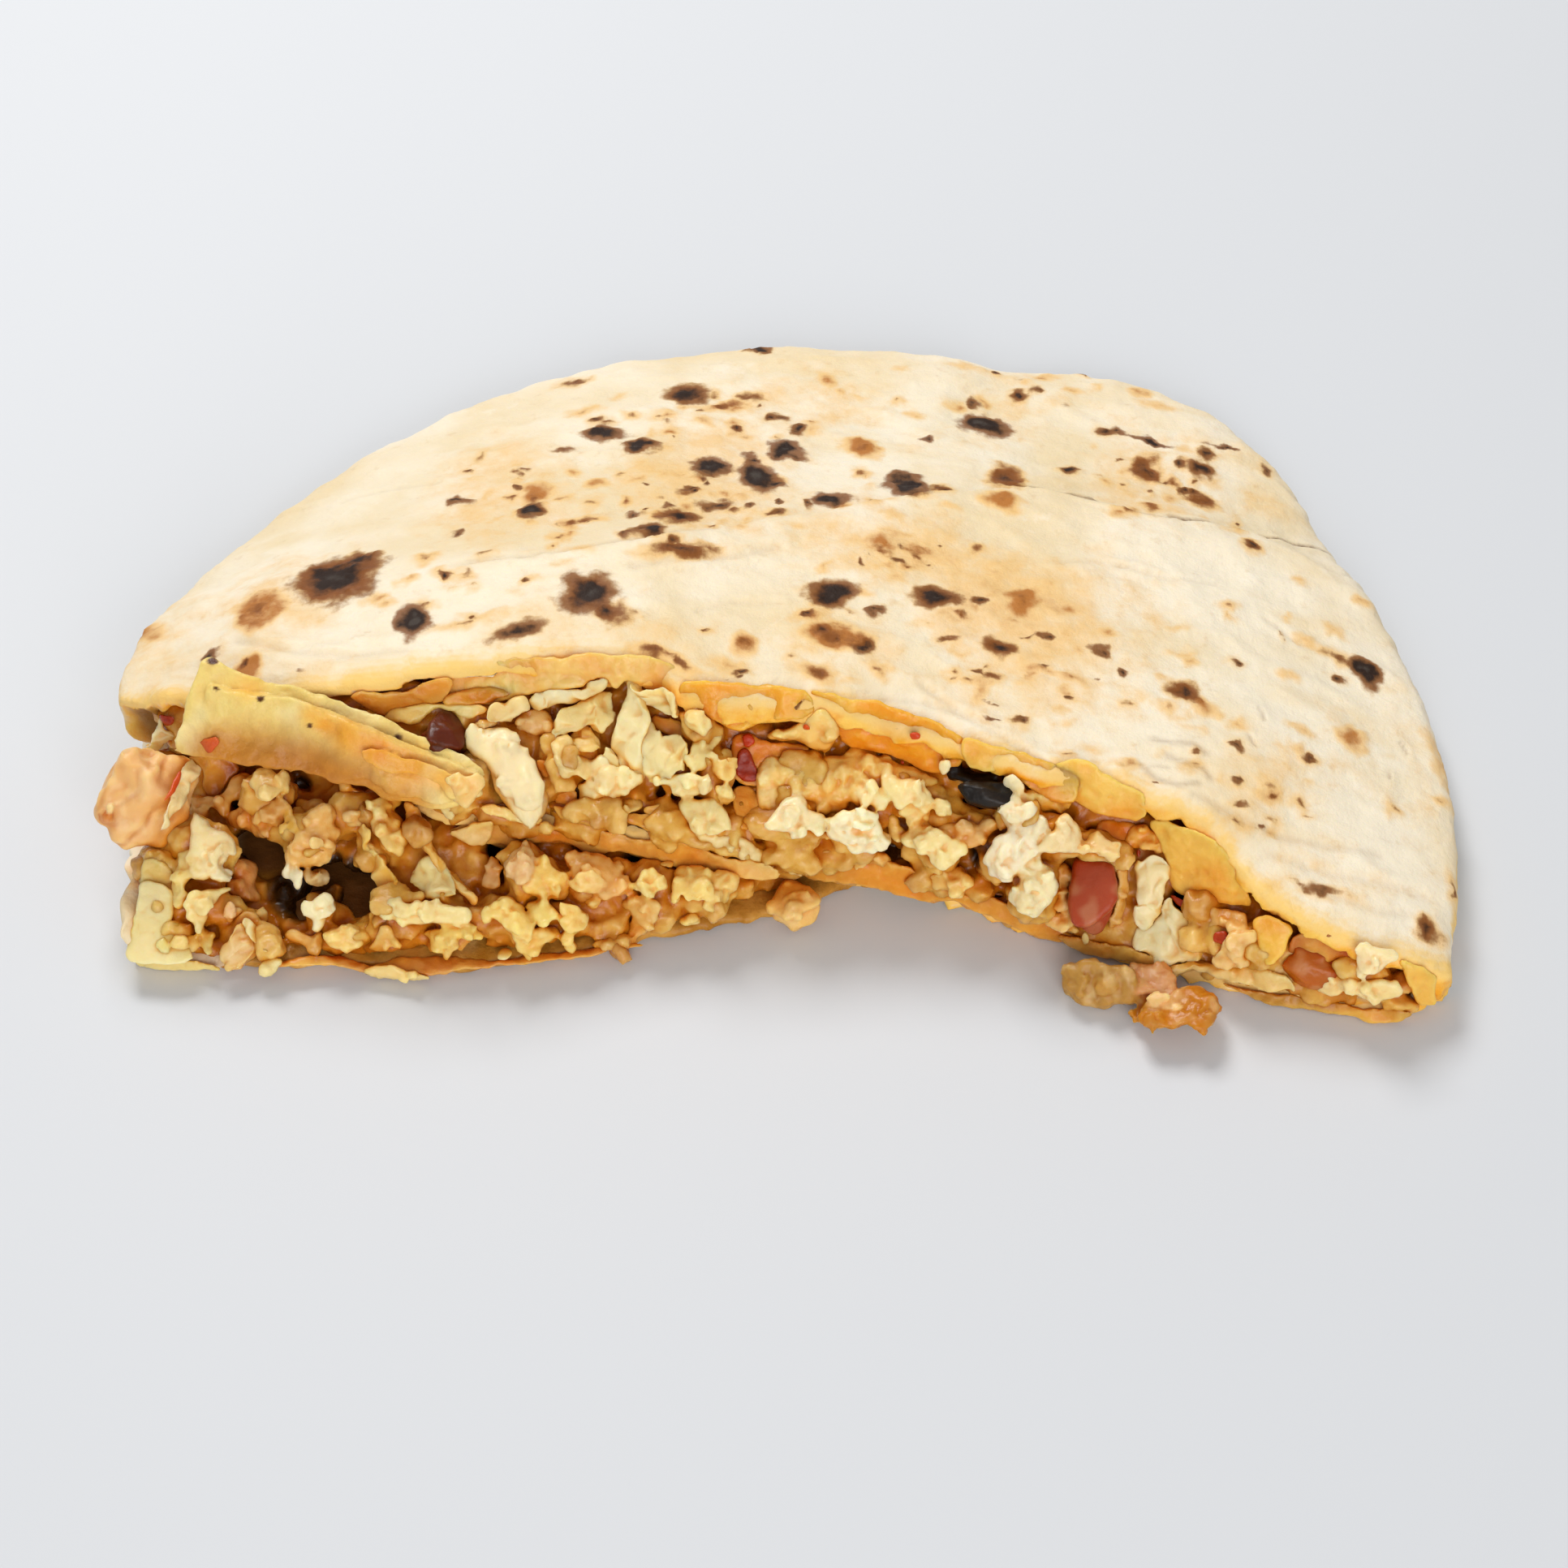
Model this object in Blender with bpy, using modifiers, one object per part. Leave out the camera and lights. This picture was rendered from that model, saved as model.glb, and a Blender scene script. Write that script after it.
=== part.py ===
"""Half of a stuffed paneer naan, cut across and standing open on its cut side.

The upper naan is a closed pocket of thin bread round a paneer filling. Its left part lies on a
second, lower sheet of bread that carries filling of its own, so the cut shows one storey on the
right and two on the left. Numbers are millimetres until a point enters a mesh, which is in metres.
The cut side faces -Y, the round rim faces +Y, and the object rests on z = 0.
"""

import math

import bmesh
import bpy
import numpy as np
from mathutils import Euler, Matrix, Vector, noise

MM = 0.001

# Driving dimensions
NAAN_RADIUS = 120.5
SHEET = 2.6
RIM_THICKNESS = 6.2
TERRACE_STEP = 3.0
LIP = 7.0
GAP = 0.35
CORE_INSET = 0.7
FLAP_THICKNESS = 1.8
LEAF_THICKNESS = 1.6
PETAL_THICKNESS = 2.4

# Middle of the footprint, in the frame that the points below are given in
FOOTPRINT_CENTRE = (-0.25, 36.35)

# The upper naan's top front edge from left to right: x, y and height of its upper side
TOP_EDGE = (
    (-119.5, 13, 24), (-109, 6, 28), (-95, 4, 33), (-81, 3, 36), (-66, 5, 38.5), (-49, 8, 40),
    (-38, 11, 40), (-24, 9, 40), (-14, 3, 38), (8, 1, 36), (20, -2, 34), (41, -9, 31),
    (57, -11, 29), (73, -17, 26), (82, -29, 21), (95, -36, 17), (108, -38.5, 12.5), (116.5, -38, 8.5),
)
# The front edge of its floor: x, y and height of its underside
BASE_EDGE = (
    (-117, 8, 15), (-100, 5, 16), (-80, 0, 16.5), (-66, -8, 16.5), (-59, -12, 16), (-38, -13, 15.5),
    (-24, -15, 14), (-9, -16, 10.5), (0, -15.5, 6.5), (10, -14.5, 3.4), (22, -16.5, 3.2), (34, -19, 0),
    (54, -27, 0), (76, -35, 0), (90, -38, 0), (107, -42, 0), (117.5, -36.5, 0),
)
# The front edge of the lower sheet, which lies flat: x and y
LOWER_EDGE = (
    (-116, -29), (-102, -31), (-81, -30), (-62, -32), (-38, -28), (-24, -25), (-2, -19), (12, -12.5), (20, -6),
)
# The terrace across the top, where the upper layer of dough ends: x and y
TERRACE = ((-130, 42), (-59, 47), (-27, 49), (-9, 56), (5, 57), (46, 66), (66, 61), (104, 64), (130, 66))

# Angles, in degrees from +X, that the round rims run between
RIM_ARC = (171.0, -15.5)
LOWER_ARC = (171.0, 76.0)

# Curds that show on the upper naan's cut: centre, width and height of each
UPPER_CURDS = (
    (-75, 0, 29, 9, 7), (-66, -2, 24, 8, 8), (-55.5, -6, 24, 8, 9), (-36, -3.5, 24, 10, 11), (-18, -4, 24, 9, 9),
    (-13, -6, 24, 8, 9), (-14.5, 0, 30.5, 6, 5), (-8.5, -11.5, 17.5, 12, 6), (1.5, -10, 17.5, 10, 10),
    (4, -4.5, 23.5, 9, 6), (13, -5, 22.5, 10, 6), (12.5, -10, 16, 11, 9), (21.5, -7.5, 21.5, 9, 8),
    (15.5, -8, 20.5, 7, 6), (26.5, -13, 13, 10, 10), (32.5, -12.5, 16.5, 9, 6), (27.5, -10, 19.5, 5, 5),
    (40.5, -16, 14.5, 10, 9), (44, -20, 9.5, 9, 10), (47.5, -15, 18.5, 10, 8), (40.5, -11.5, 22.5, 7, 7),
    (50, -20, 6, 8, 5), (56, -17.5, 16.5, 8, 6), (34, -17, 7, 9, 5), (76.5, -30, 8.5, 8, 8),
    (83.5, -31.5, 10.5, 9, 8), (87, -33.5, 8, 7, 7), (96, -37, 5.8, 7, 4.5), (101, -36.5, 10, 9, 5),
    (103, -38.5, 6, 10, 4.5),
)
# Curds that show on the lower storey's cut
LOWER_CURDS = (
    (-102, -13, 11.5, 11, 12), (-104, -20, 7.5, 9, 8), (-108, -24, 5.2, 8, 5), (-99, -22, 6.5, 7, 6),
    (-91.5, -4, 17, 8, 7), (-83.5, -11.5, 14, 9, 11), (-85, -17.5, 10, 7, 5), (-81.5, -22.5, 6.8, 5, 7),
    (-93.5, -26.5, 4.6, 10, 4), (-75, -8, 16.5, 9, 7), (-70, -12.5, 14, 8, 8), (-63, -23, 8.5, 13, 6),
    (-56, -24, 7.6, 9, 5), (-70.5, -26, 5.4, 6, 5), (-58, -27, 5, 8, 4.5), (-76.5, -27, 4.6, 9, 4),
    (-45, -17.5, 11.5, 9, 9), (-48.5, -24.5, 6.6, 9, 9), (-39.5, -23.5, 6.4, 9, 8), (-34, -18, 10.6, 12, 8),
    (-23.5, -18.5, 9, 8, 7), (-22.5, -21.5, 5.4, 7, 6), (-15, -18.5, 7, 9, 8), (-31.5, -24.5, 4.2, 9, 4),
    (-89, -8, 13, 8, 7), (-111, -14, 9, 7, 8),
)
# Filling that has dropped out of the cut: centre and half sizes of the lumps that make it up
SPILL = (
    (52, -33.5, 3.6, 4.4, 3.6, 3.4), (58, -35.5, 3.4, 5, 3.8, 3), (65.5, -38, 3, 5, 3.6, 2.6),
    (62, -42, 2.4, 4.2, 3.4, 2.2), (68, -44, 3, 4.8, 3.6, 2.8), (73.5, -41.5, 3.2, 4.2, 3.8, 3),
)


def new_collection(name):
    collection = bpy.data.collections.new(name)
    bpy.context.scene.collection.children.link(collection)
    return collection


def material(name, colour, roughness):
    made = bpy.data.materials.new(name)
    made.use_nodes = True
    shader = made.node_tree.nodes["Principled BSDF"]
    shader.inputs["Base Color"].default_value = (*colour, 1.0)
    shader.inputs["Roughness"].default_value = roughness
    shader.inputs["Metallic"].default_value = 0.0
    return made


def smooth(value, low, high):
    """0 below low, 1 above high and a smooth rise between."""
    share = min(max((value - low) / (high - low), 0.0), 1.0)
    return share * share * (3 - 2 * share)


def mix(a, b, share):
    return a + (b - a) * share


class Edge:
    """A smooth curve through a few points, read at a share of its length or at a given x."""

    STEPS = 12

    def __init__(self, points):
        given = np.array(points, float)
        ends = np.vstack([2 * given[0] - given[1], given, 2 * given[-1] - given[-2]])
        line = []
        for a, b, c, d in zip(ends, ends[1:], ends[2:], ends[3:]):
            for t in np.linspace(0, 1, self.STEPS, endpoint=False):
                bend = (2 * a - 5 * b + 4 * c - d) * t**2 + (3 * b - a - 3 * c + d) * t**3
                line.append(0.5 * (2 * b + (c - a) * t + bend))
        line.append(given[-1])
        self.line = np.array(line)
        steps = np.linalg.norm(np.diff(self.line, axis=0), axis=1)
        self.at = np.concatenate([[0.0], np.cumsum(steps)]) / steps.sum()

    def share(self, s):
        return [float(np.interp(s, self.at, axis)) for axis in self.line.T]

    def over(self, x):
        return [float(np.interp(x, self.line[:, 0], axis)) for axis in self.line.T]


TOP = Edge(TOP_EDGE)
BASE = Edge(BASE_EDGE)
LOWER = Edge(LOWER_EDGE)
TERRACE_LINE = Edge(TERRACE)


def rim(s, arc, inset=0.0):
    """A point of the round rim, which bulges at its back right and a little at its left."""
    angle = mix(arc[0], arc[1], s)
    radius = NAAN_RADIUS - inset
    radius += 14.0 * math.exp(-(((angle - 52) / 17) ** 2))
    radius += 3.0 * math.exp(-(((angle - 155) / 15) ** 2))
    return radius * math.cos(math.radians(angle)), radius * math.sin(math.radians(angle))


def resting_height(x, y):
    """What the upper naan lies on: the lower sheet at the left, and nothing at the right."""
    seam_x = 20 + 10 * (y + 6) / 127
    return (SHEET + GAP) * (1 - smooth(x - seam_x, 4, 13))


def upper_heights(s, t, x, y):
    """Heights of the upper naan's underside and top at a share s along and t back."""
    rest = resting_height(x, y)
    back = smooth(t, 0.05, 0.62)
    tip = 9.0 * smooth(mix(*RIM_ARC, s), 148, 171) * back
    floor = rest + (max(BASE.share(s)[2], rest) - rest) * (1 - back) + tip
    rim_top = rest + tip + RIM_THICKNESS
    front = TOP.share(s)[2] - TERRACE_STEP
    step = TERRACE_STEP * smooth(TERRACE_LINE.over(x)[1] - y, 0, 4)
    uneven = t * noise.noise(Vector((x / 26, y / 26, 3.1)))
    top = rim_top + (front - rim_top) * (1 - t**1.5) + step + uneven
    near_rim = max(0.0, (t - 0.955) / 0.045)
    keep = math.sqrt(1 - 0.9 * near_rim**2)
    middle = rest + tip + RIM_THICKNESS / 2
    return mix(middle, floor, keep), mix(middle, top, keep)


def upper_shape(s, t, w):
    """The outside of the upper naan: w is 0 on its underside and 1 on its top."""
    front = BASE.share(s) if w < 0.5 else TOP.share(s)
    back = rim(s, RIM_ARC)
    x, y = mix(front[0], back[0], t), mix(front[1], back[1], t)
    floor, top = upper_heights(s, t, x, y)
    return x, y, (floor if w < 0.5 else top)


def terrace_share(s):
    """How far back, from the front edge to the rim, the terrace crosses at a share s."""
    front, back = TOP.share(s), rim(s, RIM_ARC)
    for t in np.linspace(0.05, 0.72, 91):
        if mix(front[1], back[1], t) > TERRACE_LINE.over(mix(front[0], back[0], t))[1]:
            return float(t)
    return 0.72


def upper_rows(s, v, w):
    """The same outside, with a row of points on each side of the terrace and more rows at the rim."""
    edge = terrace_share(s)
    if v <= 0.5:
        return upper_shape(s, edge * (v / 0.5 - 0.06 * (v > 0.4)), w)
    late = (v - 0.5) / 0.5
    return upper_shape(s, mix(edge, 1.0, 1 - (1 - late) ** 1.8), w)


def roof_thickness(x, depth):
    """The top sheet's thickness: along the cut it turns down into a lip, which is thin at the left."""
    lip = SHEET + (LIP - SHEET) * smooth(x, -52, -36) * (1 - 0.55 * smooth(x, 76, 100))
    return mix(lip, SHEET, smooth(depth, 0, 8))


def pocket_shape(s, t, w, inset):
    """The hollow of the upper naan, which the filling takes up, kept inset away from the bread."""
    s = mix(0.034 + inset * 0.0022, 0.963 - inset * 0.0022, s)
    deep = 0.93 * t - inset * 0.008 * smooth(t, 0.9, 1)
    x, y, z = upper_shape(s, deep, w)
    if w < 0.5:
        return x, y, z + SHEET + inset
    front, back = TOP.share(s), rim(s, RIM_ARC)
    depth = deep * math.hypot(back[0] - front[0], back[1] - front[1])
    return x, y, z - roof_thickness(x, depth) - inset


def hollow_shape(s, t, w):
    """The pocket as it is cut out, which runs on out of the cut side."""
    x, y, z = pocket_shape(s, t, w, 0.0)
    return x, y - (14 if t == 0 else 0), z


def upper_core_shape(s, t, w):
    return pocket_shape(s, t, w, GAP + CORE_INSET)


def lower_outline(s, t):
    front = LOWER.share(s)
    back = rim(s, LOWER_ARC, inset=1.5)
    return mix(front[0], back[0], t), mix(front[1], back[1], t)


def lower_sheet_shape(s, t, w):
    """The lower sheet lies flat, curls up along its left end and is ragged along its front."""
    x, y = lower_outline(s, t)
    curl = 7.5 * smooth(-x, 100, 118) ** 2 * (1 - 0.7 * smooth(t, 0.1, 0.6))
    ragged = 0.9 * max(0.0, noise.noise(Vector((x / 9, 0.4, y / 30)))) * (1 - smooth(t, 0.0, 0.12))
    return x, y, curl + ragged + (SHEET if w > 0.5 else 0.0)


def roof_over(x, y):
    """Height of the upper naan's underside over a point, or of the slope in front of it."""
    edge = BASE.over(x)
    if y < edge[1]:
        return max(edge[2] - 0.62 * (edge[1] - y), 0.0)
    rest = resting_height(x, y)
    back_y = math.sqrt(max(NAAN_RADIUS**2 - x * x, 1.0))
    t = (y - edge[1]) / max(back_y - edge[1], 1.0)
    return mix(max(edge[2], rest), rest, smooth(t, 0.05, 0.62))


def lower_core_shape(s, t, w):
    """The bed of filling between the lower sheet and the upper naan's floor."""
    s, t = mix(0.05, 0.83, s), mix(0.035, 0.62, t)
    x, y = lower_outline(s, t)
    floor = lower_sheet_shape(s, t, 1)[2] + GAP + 0.4
    if w < 0.5:
        return x, y, floor
    return x, y, max(roof_over(x, y) - 1.0, floor + 0.6)


def block(name, shape, columns, rows, ease=1.0):
    """A closed solid: a flat grid is extruded, and every point moved to where shape(s, t, w) says."""
    made = bmesh.new()
    bmesh.ops.create_grid(made, x_segments=columns, y_segments=rows, size=0.5)
    bmesh.ops.translate(made, verts=made.verts, vec=(0.5, 0.5, 0))
    raised = bmesh.ops.extrude_face_region(made, geom=made.faces[:], use_keep_orig=True)
    fresh = [item for item in raised["geom"] if isinstance(item, bmesh.types.BMVert)]
    bmesh.ops.translate(made, verts=fresh, vec=(0, 0, 1))
    for vert in made.verts:
        s, t, w = vert.co
        vert.co = Vector(shape(s, t**ease, w)) * MM
    return finished(name, made)


def leaf_between(name, near, far, thickness, columns, rows, wave, seed=0.0):
    """A thin leaf stretched between two edges, with waves across it, thickened on both sides."""
    near, far = Edge(near), Edge(far)
    made = bmesh.new()
    bmesh.ops.create_grid(made, x_segments=columns, y_segments=rows, size=0.5)
    for vert in made.verts:
        s, t = vert.co.x + 0.5, vert.co.y + 0.5
        point = Vector(near.share(s)).lerp(Vector(far.share(s)), t)
        lift = wave * noise.noise(Vector((point.x / 6, point.y / 6 + seed, point.z / 6)))
        vert.co = (point + Vector((0, -0.7, 0.7)) * lift) * MM
    leaf = finished(name, made)
    solidify = leaf.modifiers.new("thickness", "SOLIDIFY")
    solidify.thickness = thickness * MM
    solidify.offset = 0.0
    return leaf


def lump(name, centre, size, seed, turn=(0, 0, 0), rounds=2, rough=0.28, grain=0.9, lowest=-99.0):
    """An uneven ball, of the given half sizes and turned by degrees. lowest flattens its underside."""
    made = bmesh.new()
    bmesh.ops.create_icosphere(made, subdivisions=rounds, radius=1.0)
    spin = Euler([math.radians(angle) for angle in turn]).to_matrix()
    for vert in made.verts:
        way = vert.co.normalized()
        radius = 1 + rough * noise.noise(way * grain * 2 + Vector((seed * 3.7, seed, -seed)))
        point = spin @ Vector(a * b for a, b in zip(way * radius, size)) + Vector(centre)
        point.z = max(point.z, lowest)
        vert.co = point * MM
    return finished(name, made)


def finished(name, made):
    """Turns a bmesh into an object with triangles that face out."""
    bmesh.ops.triangulate(made, faces=made.faces[:])
    bmesh.ops.recalc_face_normals(made, faces=made.faces[:])
    mesh = bpy.data.meshes.new(name)
    made.to_mesh(mesh)
    made.free()
    return bpy.data.objects.new(name, mesh)


def evaluated_mesh(obj):
    bpy.context.view_layer.update()
    graph = bpy.context.evaluated_depsgraph_get()
    return bpy.data.meshes.new_from_object(obj.evaluated_get(graph))


def settle(obj):
    """Applies the object's modifiers."""
    mesh = evaluated_mesh(obj)
    obj.modifiers.clear()
    obj.data = mesh


def boolean(obj, operation, collection):
    """Joins a collection to the object, or cuts it away, and removes the collection's objects."""
    modifier = obj.modifiers.new(operation.lower(), "BOOLEAN")
    modifier.operation = operation
    modifier.operand_type = "COLLECTION"
    modifier.collection = collection
    modifier.solver = "EXACT"
    settle(obj)
    for other in list(collection.objects):
        bpy.data.objects.remove(other)
    tidy = bmesh.new()
    tidy.from_mesh(obj.data)
    bmesh.ops.remove_doubles(tidy, verts=tidy.verts, dist=0.02 * MM)
    bmesh.ops.triangulate(tidy, faces=tidy.faces[:])
    tidy.to_mesh(obj.data)
    tidy.free()


def thin_out(obj, triangles):
    """Collapses the smallest faces until about this many triangles are left."""
    ratio = triangles / len(obj.data.polygons)
    if ratio < 1:
        modifier = obj.modifiers.new("thin_out", "DECIMATE")
        modifier.ratio = ratio
        settle(obj)


def link_grown(obj, by, collection):
    """Adds a copy of the object whose surface lies further out, for cutting clearance."""
    mesh = evaluated_mesh(obj)
    body = bmesh.new()
    body.from_mesh(mesh)
    bmesh.ops.remove_doubles(body, verts=body.verts, dist=0.01 * MM)
    bmesh.ops.recalc_face_normals(body, faces=body.faces[:])
    body.normal_update()
    moves = [vert.normal.copy() * by * MM * vert.calc_shell_factor() for vert in body.verts]
    for vert, move in zip(body.verts, moves):
        vert.co += move
    body.to_mesh(mesh)
    body.free()
    collection.objects.link(bpy.data.objects.new(obj.name + "_grown", mesh))


def drop_scraps(obj):
    """Keeps the largest body where a cut has left loose ones."""
    body = bmesh.new()
    body.from_mesh(obj.data)
    left = set(body.verts)
    islands = []
    while left:
        start = left.pop()
        island, edge = {start}, [start]
        while edge:
            vert = edge.pop()
            for link in vert.link_edges:
                other = link.other_vert(vert)
                if other in left:
                    left.discard(other)
                    island.add(other)
                    edge.append(other)
        islands.append(island)
    keep = max(islands, key=len)
    bmesh.ops.delete(body, geom=[vert for vert in body.verts if vert not in keep], context="VERTS")
    body.to_mesh(obj.data)
    body.free()


def boxes_meet(a, b, margin):
    for axis in range(3):
        mine, theirs = [[vert.co[axis] for vert in obj.data.vertices] for obj in (a, b)]
        if max(mine) + margin < min(theirs) or max(theirs) + margin < min(mine):
            return False
    return True


class Naan:
    """Files each piece as a node, cut clear of the pieces before it."""

    def __init__(self):
        self.pieces = new_collection("paneer_naan")
        self.cutters = new_collection("cutters")
        self.joined = new_collection("joined")
        self.placed = []

    def place(self, obj, finish, hollow=None, joins=(), triangles=0, gap=GAP):
        self.pieces.objects.link(obj)
        settle(obj)
        if hollow:
            self.cutters.objects.link(hollow)
            boolean(obj, "DIFFERENCE", self.cutters)
        if joins:
            for other in joins:
                self.joined.objects.link(other)
            boolean(obj, "UNION", self.joined)
            thin_out(obj, triangles)
        near = [other for other in self.placed if boxes_meet(obj, other, gap * MM)]
        for other in near:
            link_grown(other, gap, self.cutters)
        if near:
            boolean(obj, "DIFFERENCE", self.cutters)
            drop_scraps(obj)
        obj.data.materials.clear()
        obj.data.materials.append(finish)
        self.placed.append(obj)

    def centre_footprint(self):
        shift = Matrix.Translation((-FOOTPRINT_CENTRE[0] * MM, -FOOTPRINT_CENTRE[1] * MM, 0))
        for obj in self.placed:
            obj.data.transform(shift)


def place_breads(naan):
    """The upper naan with its pocket, the lower sheet, and the torn flap that leans over the left end."""
    crust = material("naan_bread", (0.86, 0.72, 0.50), 0.62)
    crumb = material("oiled_bread", (0.84, 0.58, 0.22), 0.5)
    pocket = block("pocket", hollow_shape, 28, 6, ease=1.4)
    naan.place(block("bread_upper", upper_rows, 42, 12), crust, hollow=pocket)
    naan.place(block("bread_lower", lower_sheet_shape, 26, 8), crust)
    near = ((-107, -3, 27.5), (-98, -4.5, 28), (-88, -6, 28), (-76, -9, 27.5), (-62, -13, 26), (-52, -13.5, 27))
    far = ((-99, 2, 39), (-90, 0, 38.5), (-80, -2, 38), (-69, -6, 35), (-60, -8, 32), (-51.5, -10.5, 29.5))
    naan.place(leaf_between("bread_flap", near, far, FLAP_THICKNESS, 14, 4, wave=1.2), crumb)


def place_pieces(naan):
    """Pieces of paneer and vegetable that are large enough to stand alone."""
    white = material("pale_paneer", (0.87, 0.80, 0.62), 0.5)
    browned = material("browned_paneer", (0.72, 0.45, 0.24), 0.55)
    red = material("tomato", (0.55, 0.17, 0.10), 0.35)
    dark = material("charred_onion", (0.05, 0.035, 0.03), 0.45)
    brown = material("mushroom", (0.22, 0.08, 0.03), 0.35)
    lumps = (
        ("browned_chunk", browned, (-112, -7, 20.5), (8.6, 6, 8.6), (-25, 25, 10), 3, 0.4),
        ("paneer_piece", white, (-46.5, -8, 25.5), (4.2, 4, 8.6), (-32, -28, 0), 2, 0.42),
        ("mushroom_piece", brown, (-60, -3.4, 29.5), (4.2, 3.6, 4.4), (0, 0, 0), 2, 0.2),
        ("charred_onion", dark, (36.5, -11.5, 25.5), (6.6, 2.6, 2.6), (0, 14, 0), 2, 0.5),
        ("tomato_piece", red, (54, -24, 11), (5, 3.4, 6.8), (-38, 0, 0), 2, 0.2),
        ("tomato_slice", red, (92, -37, 8.5), (5.8, 2.2, 3.4), (-25, 8, -12), 2, 0.25),
    )
    for seed, (name, finish, centre, size, turn, rounds, rough) in enumerate(lumps, start=2):
        naan.place(lump(name, centre, size, seed, turn, rounds, rough), finish)


def place_leaves(naan):
    """The onion petal, an onion strip, two folded bands of cabbage and a broad cabbage leaf."""
    white = material("pale_onion", (0.87, 0.80, 0.62), 0.45)
    leaf = material("cabbage", (0.86, 0.74, 0.45), 0.4)
    near = ((61, -31, 4.6), (66, -32, 3.9), (72, -33, 4.2), (78, -33.5, 5.6))
    far = ((62, -20, 17.5), (66, -21.5, 15), (70, -27, 9.5), (76, -28, 10.5))
    naan.place(leaf_between("onion_petal", near, far, PETAL_THICKNESS, 8, 5, wave=0.8), white)
    naan.place(lump("onion_strip", (80, -38, 3.6), (10.2, 1.8, 1.8), 8, (0, 3, -8), rough=0.25), leaf)
    leaves = (
        ("cabbage_band", ((-67, -22, 7.5), (-61, -23, 8.5)), ((-74, -11, 17.5), (-68.5, -12, 18.5)), 3, 7),
        ("cabbage_fold", ((-59.5, -19, 12.5), (-54, -20, 13)), ((-66, -10.5, 20), (-60, -11.5, 21)), 3, 6),
        ("cabbage_leaf", ((-39, -8.5, 18.5), (-31, -10, 18), (-23, -9.5, 19)),
         ((-37, 0, 32), (-30, -2, 33), (-20.5, -3, 31.5)), 6, 6),
    )
    for seed, (name, near, far, columns, rows) in enumerate(leaves):
        naan.place(leaf_between(name, near, far, LEAF_THICKNESS, columns, rows, wave=1.5, seed=seed * 4), leaf)


def place_dropped_filling(naan):
    """What has dropped out of the cut and lies in front of it."""
    sauce = material("spiced_oil", (0.60, 0.28, 0.05), 0.3)
    paneer = material("fallen_paneer", (0.83, 0.68, 0.38), 0.55)
    lumps = [lump("spilled_filling", row[:3], row[3:], seed, rough=0.45, lowest=0.0)
             for seed, row in enumerate(SPILL, start=20)]
    naan.place(lumps[0], sauce, joins=lumps[1:], triangles=420)
    fallen = lump("fallen_curd", (2, -20.5, 4.6), (4.6, 3.4, 4.4), 31, (-20, 0, 0), rough=0.45, lowest=0.0)
    naan.place(fallen, paneer)


def curds(table, first_seed):
    """Curds of paneer: uneven balls that lean back with the cut."""
    made = []
    for seed, (x, y, z, width, height) in enumerate(table, start=first_seed):
        size = (width * 0.56, min(width, height) * 0.5, height * 0.52)
        made.append(lump("curd", (x, y, z), size, seed, (-25, 0, 0), rough=0.62, grain=1.1))
    return made


def place_fillings(naan):
    """The two beds of filling: each a core that reaches back, with the curds that show fused on."""
    paneer = material("paneer_filling", (0.83, 0.68, 0.38), 0.55)
    wide_gap = GAP + 0.15
    upper = block("filling_upper", upper_core_shape, 20, 4, ease=1.4)
    naan.place(upper, paneer, joins=curds(UPPER_CURDS, 1), triangles=2300, gap=wide_gap)
    lower = block("filling_lower", lower_core_shape, 16, 4)
    naan.place(lower, paneer, joins=curds(LOWER_CURDS, 50), triangles=1900, gap=wide_gap)


def build():
    for obj in list(bpy.data.objects):
        bpy.data.objects.remove(obj)
    naan = Naan()
    place_breads(naan)
    place_pieces(naan)
    place_leaves(naan)
    place_dropped_filling(naan)
    place_fillings(naan)
    naan.centre_footprint()


build()
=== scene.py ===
"""Half of a stuffed paneer naan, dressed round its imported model, which is the fixed frame.

Lengths are in metres, and a name that ends in MM or a list that says so is in millimetres. A list
of places that are seen gives pixels in a picture 1932 pixels wide and high, taken by the camera
below. Each is carried along the line of sight onto the piece that it belongs to.
"""

import math
import random

import bpy
import numpy as np
from mathutils import Euler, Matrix, Vector, kdtree, noise
from mathutils.bvhtree import BVHTree


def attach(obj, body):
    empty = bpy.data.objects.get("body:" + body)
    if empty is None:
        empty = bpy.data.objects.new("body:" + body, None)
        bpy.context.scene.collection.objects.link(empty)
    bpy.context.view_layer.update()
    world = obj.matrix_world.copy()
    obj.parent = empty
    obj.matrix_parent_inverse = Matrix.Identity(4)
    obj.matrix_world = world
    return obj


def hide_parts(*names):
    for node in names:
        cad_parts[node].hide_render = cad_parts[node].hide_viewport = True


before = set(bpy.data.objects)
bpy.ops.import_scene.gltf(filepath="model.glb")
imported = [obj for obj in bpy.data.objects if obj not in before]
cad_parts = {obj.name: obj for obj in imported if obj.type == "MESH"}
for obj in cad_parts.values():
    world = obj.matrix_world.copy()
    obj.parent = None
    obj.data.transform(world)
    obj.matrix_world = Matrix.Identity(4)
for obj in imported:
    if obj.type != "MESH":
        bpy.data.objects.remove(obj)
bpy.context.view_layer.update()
# Noise starts from the clock unless it is given a number, and each run has to come out the same
noise.seed_set(7)

# Camera: a long lens over the cut side, looking down at it by fifty degrees. Its lines of sight
# are also how a place in the picture is found on a piece.
MM = 0.001
PICTURE = 1932
LENS = 85.0
SENSOR = 36.0
STAND_OFF = 0.66
LOOK_DOWN = math.radians(50)
AIM = Vector((0.25, -36.35, 15)) * MM

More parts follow.
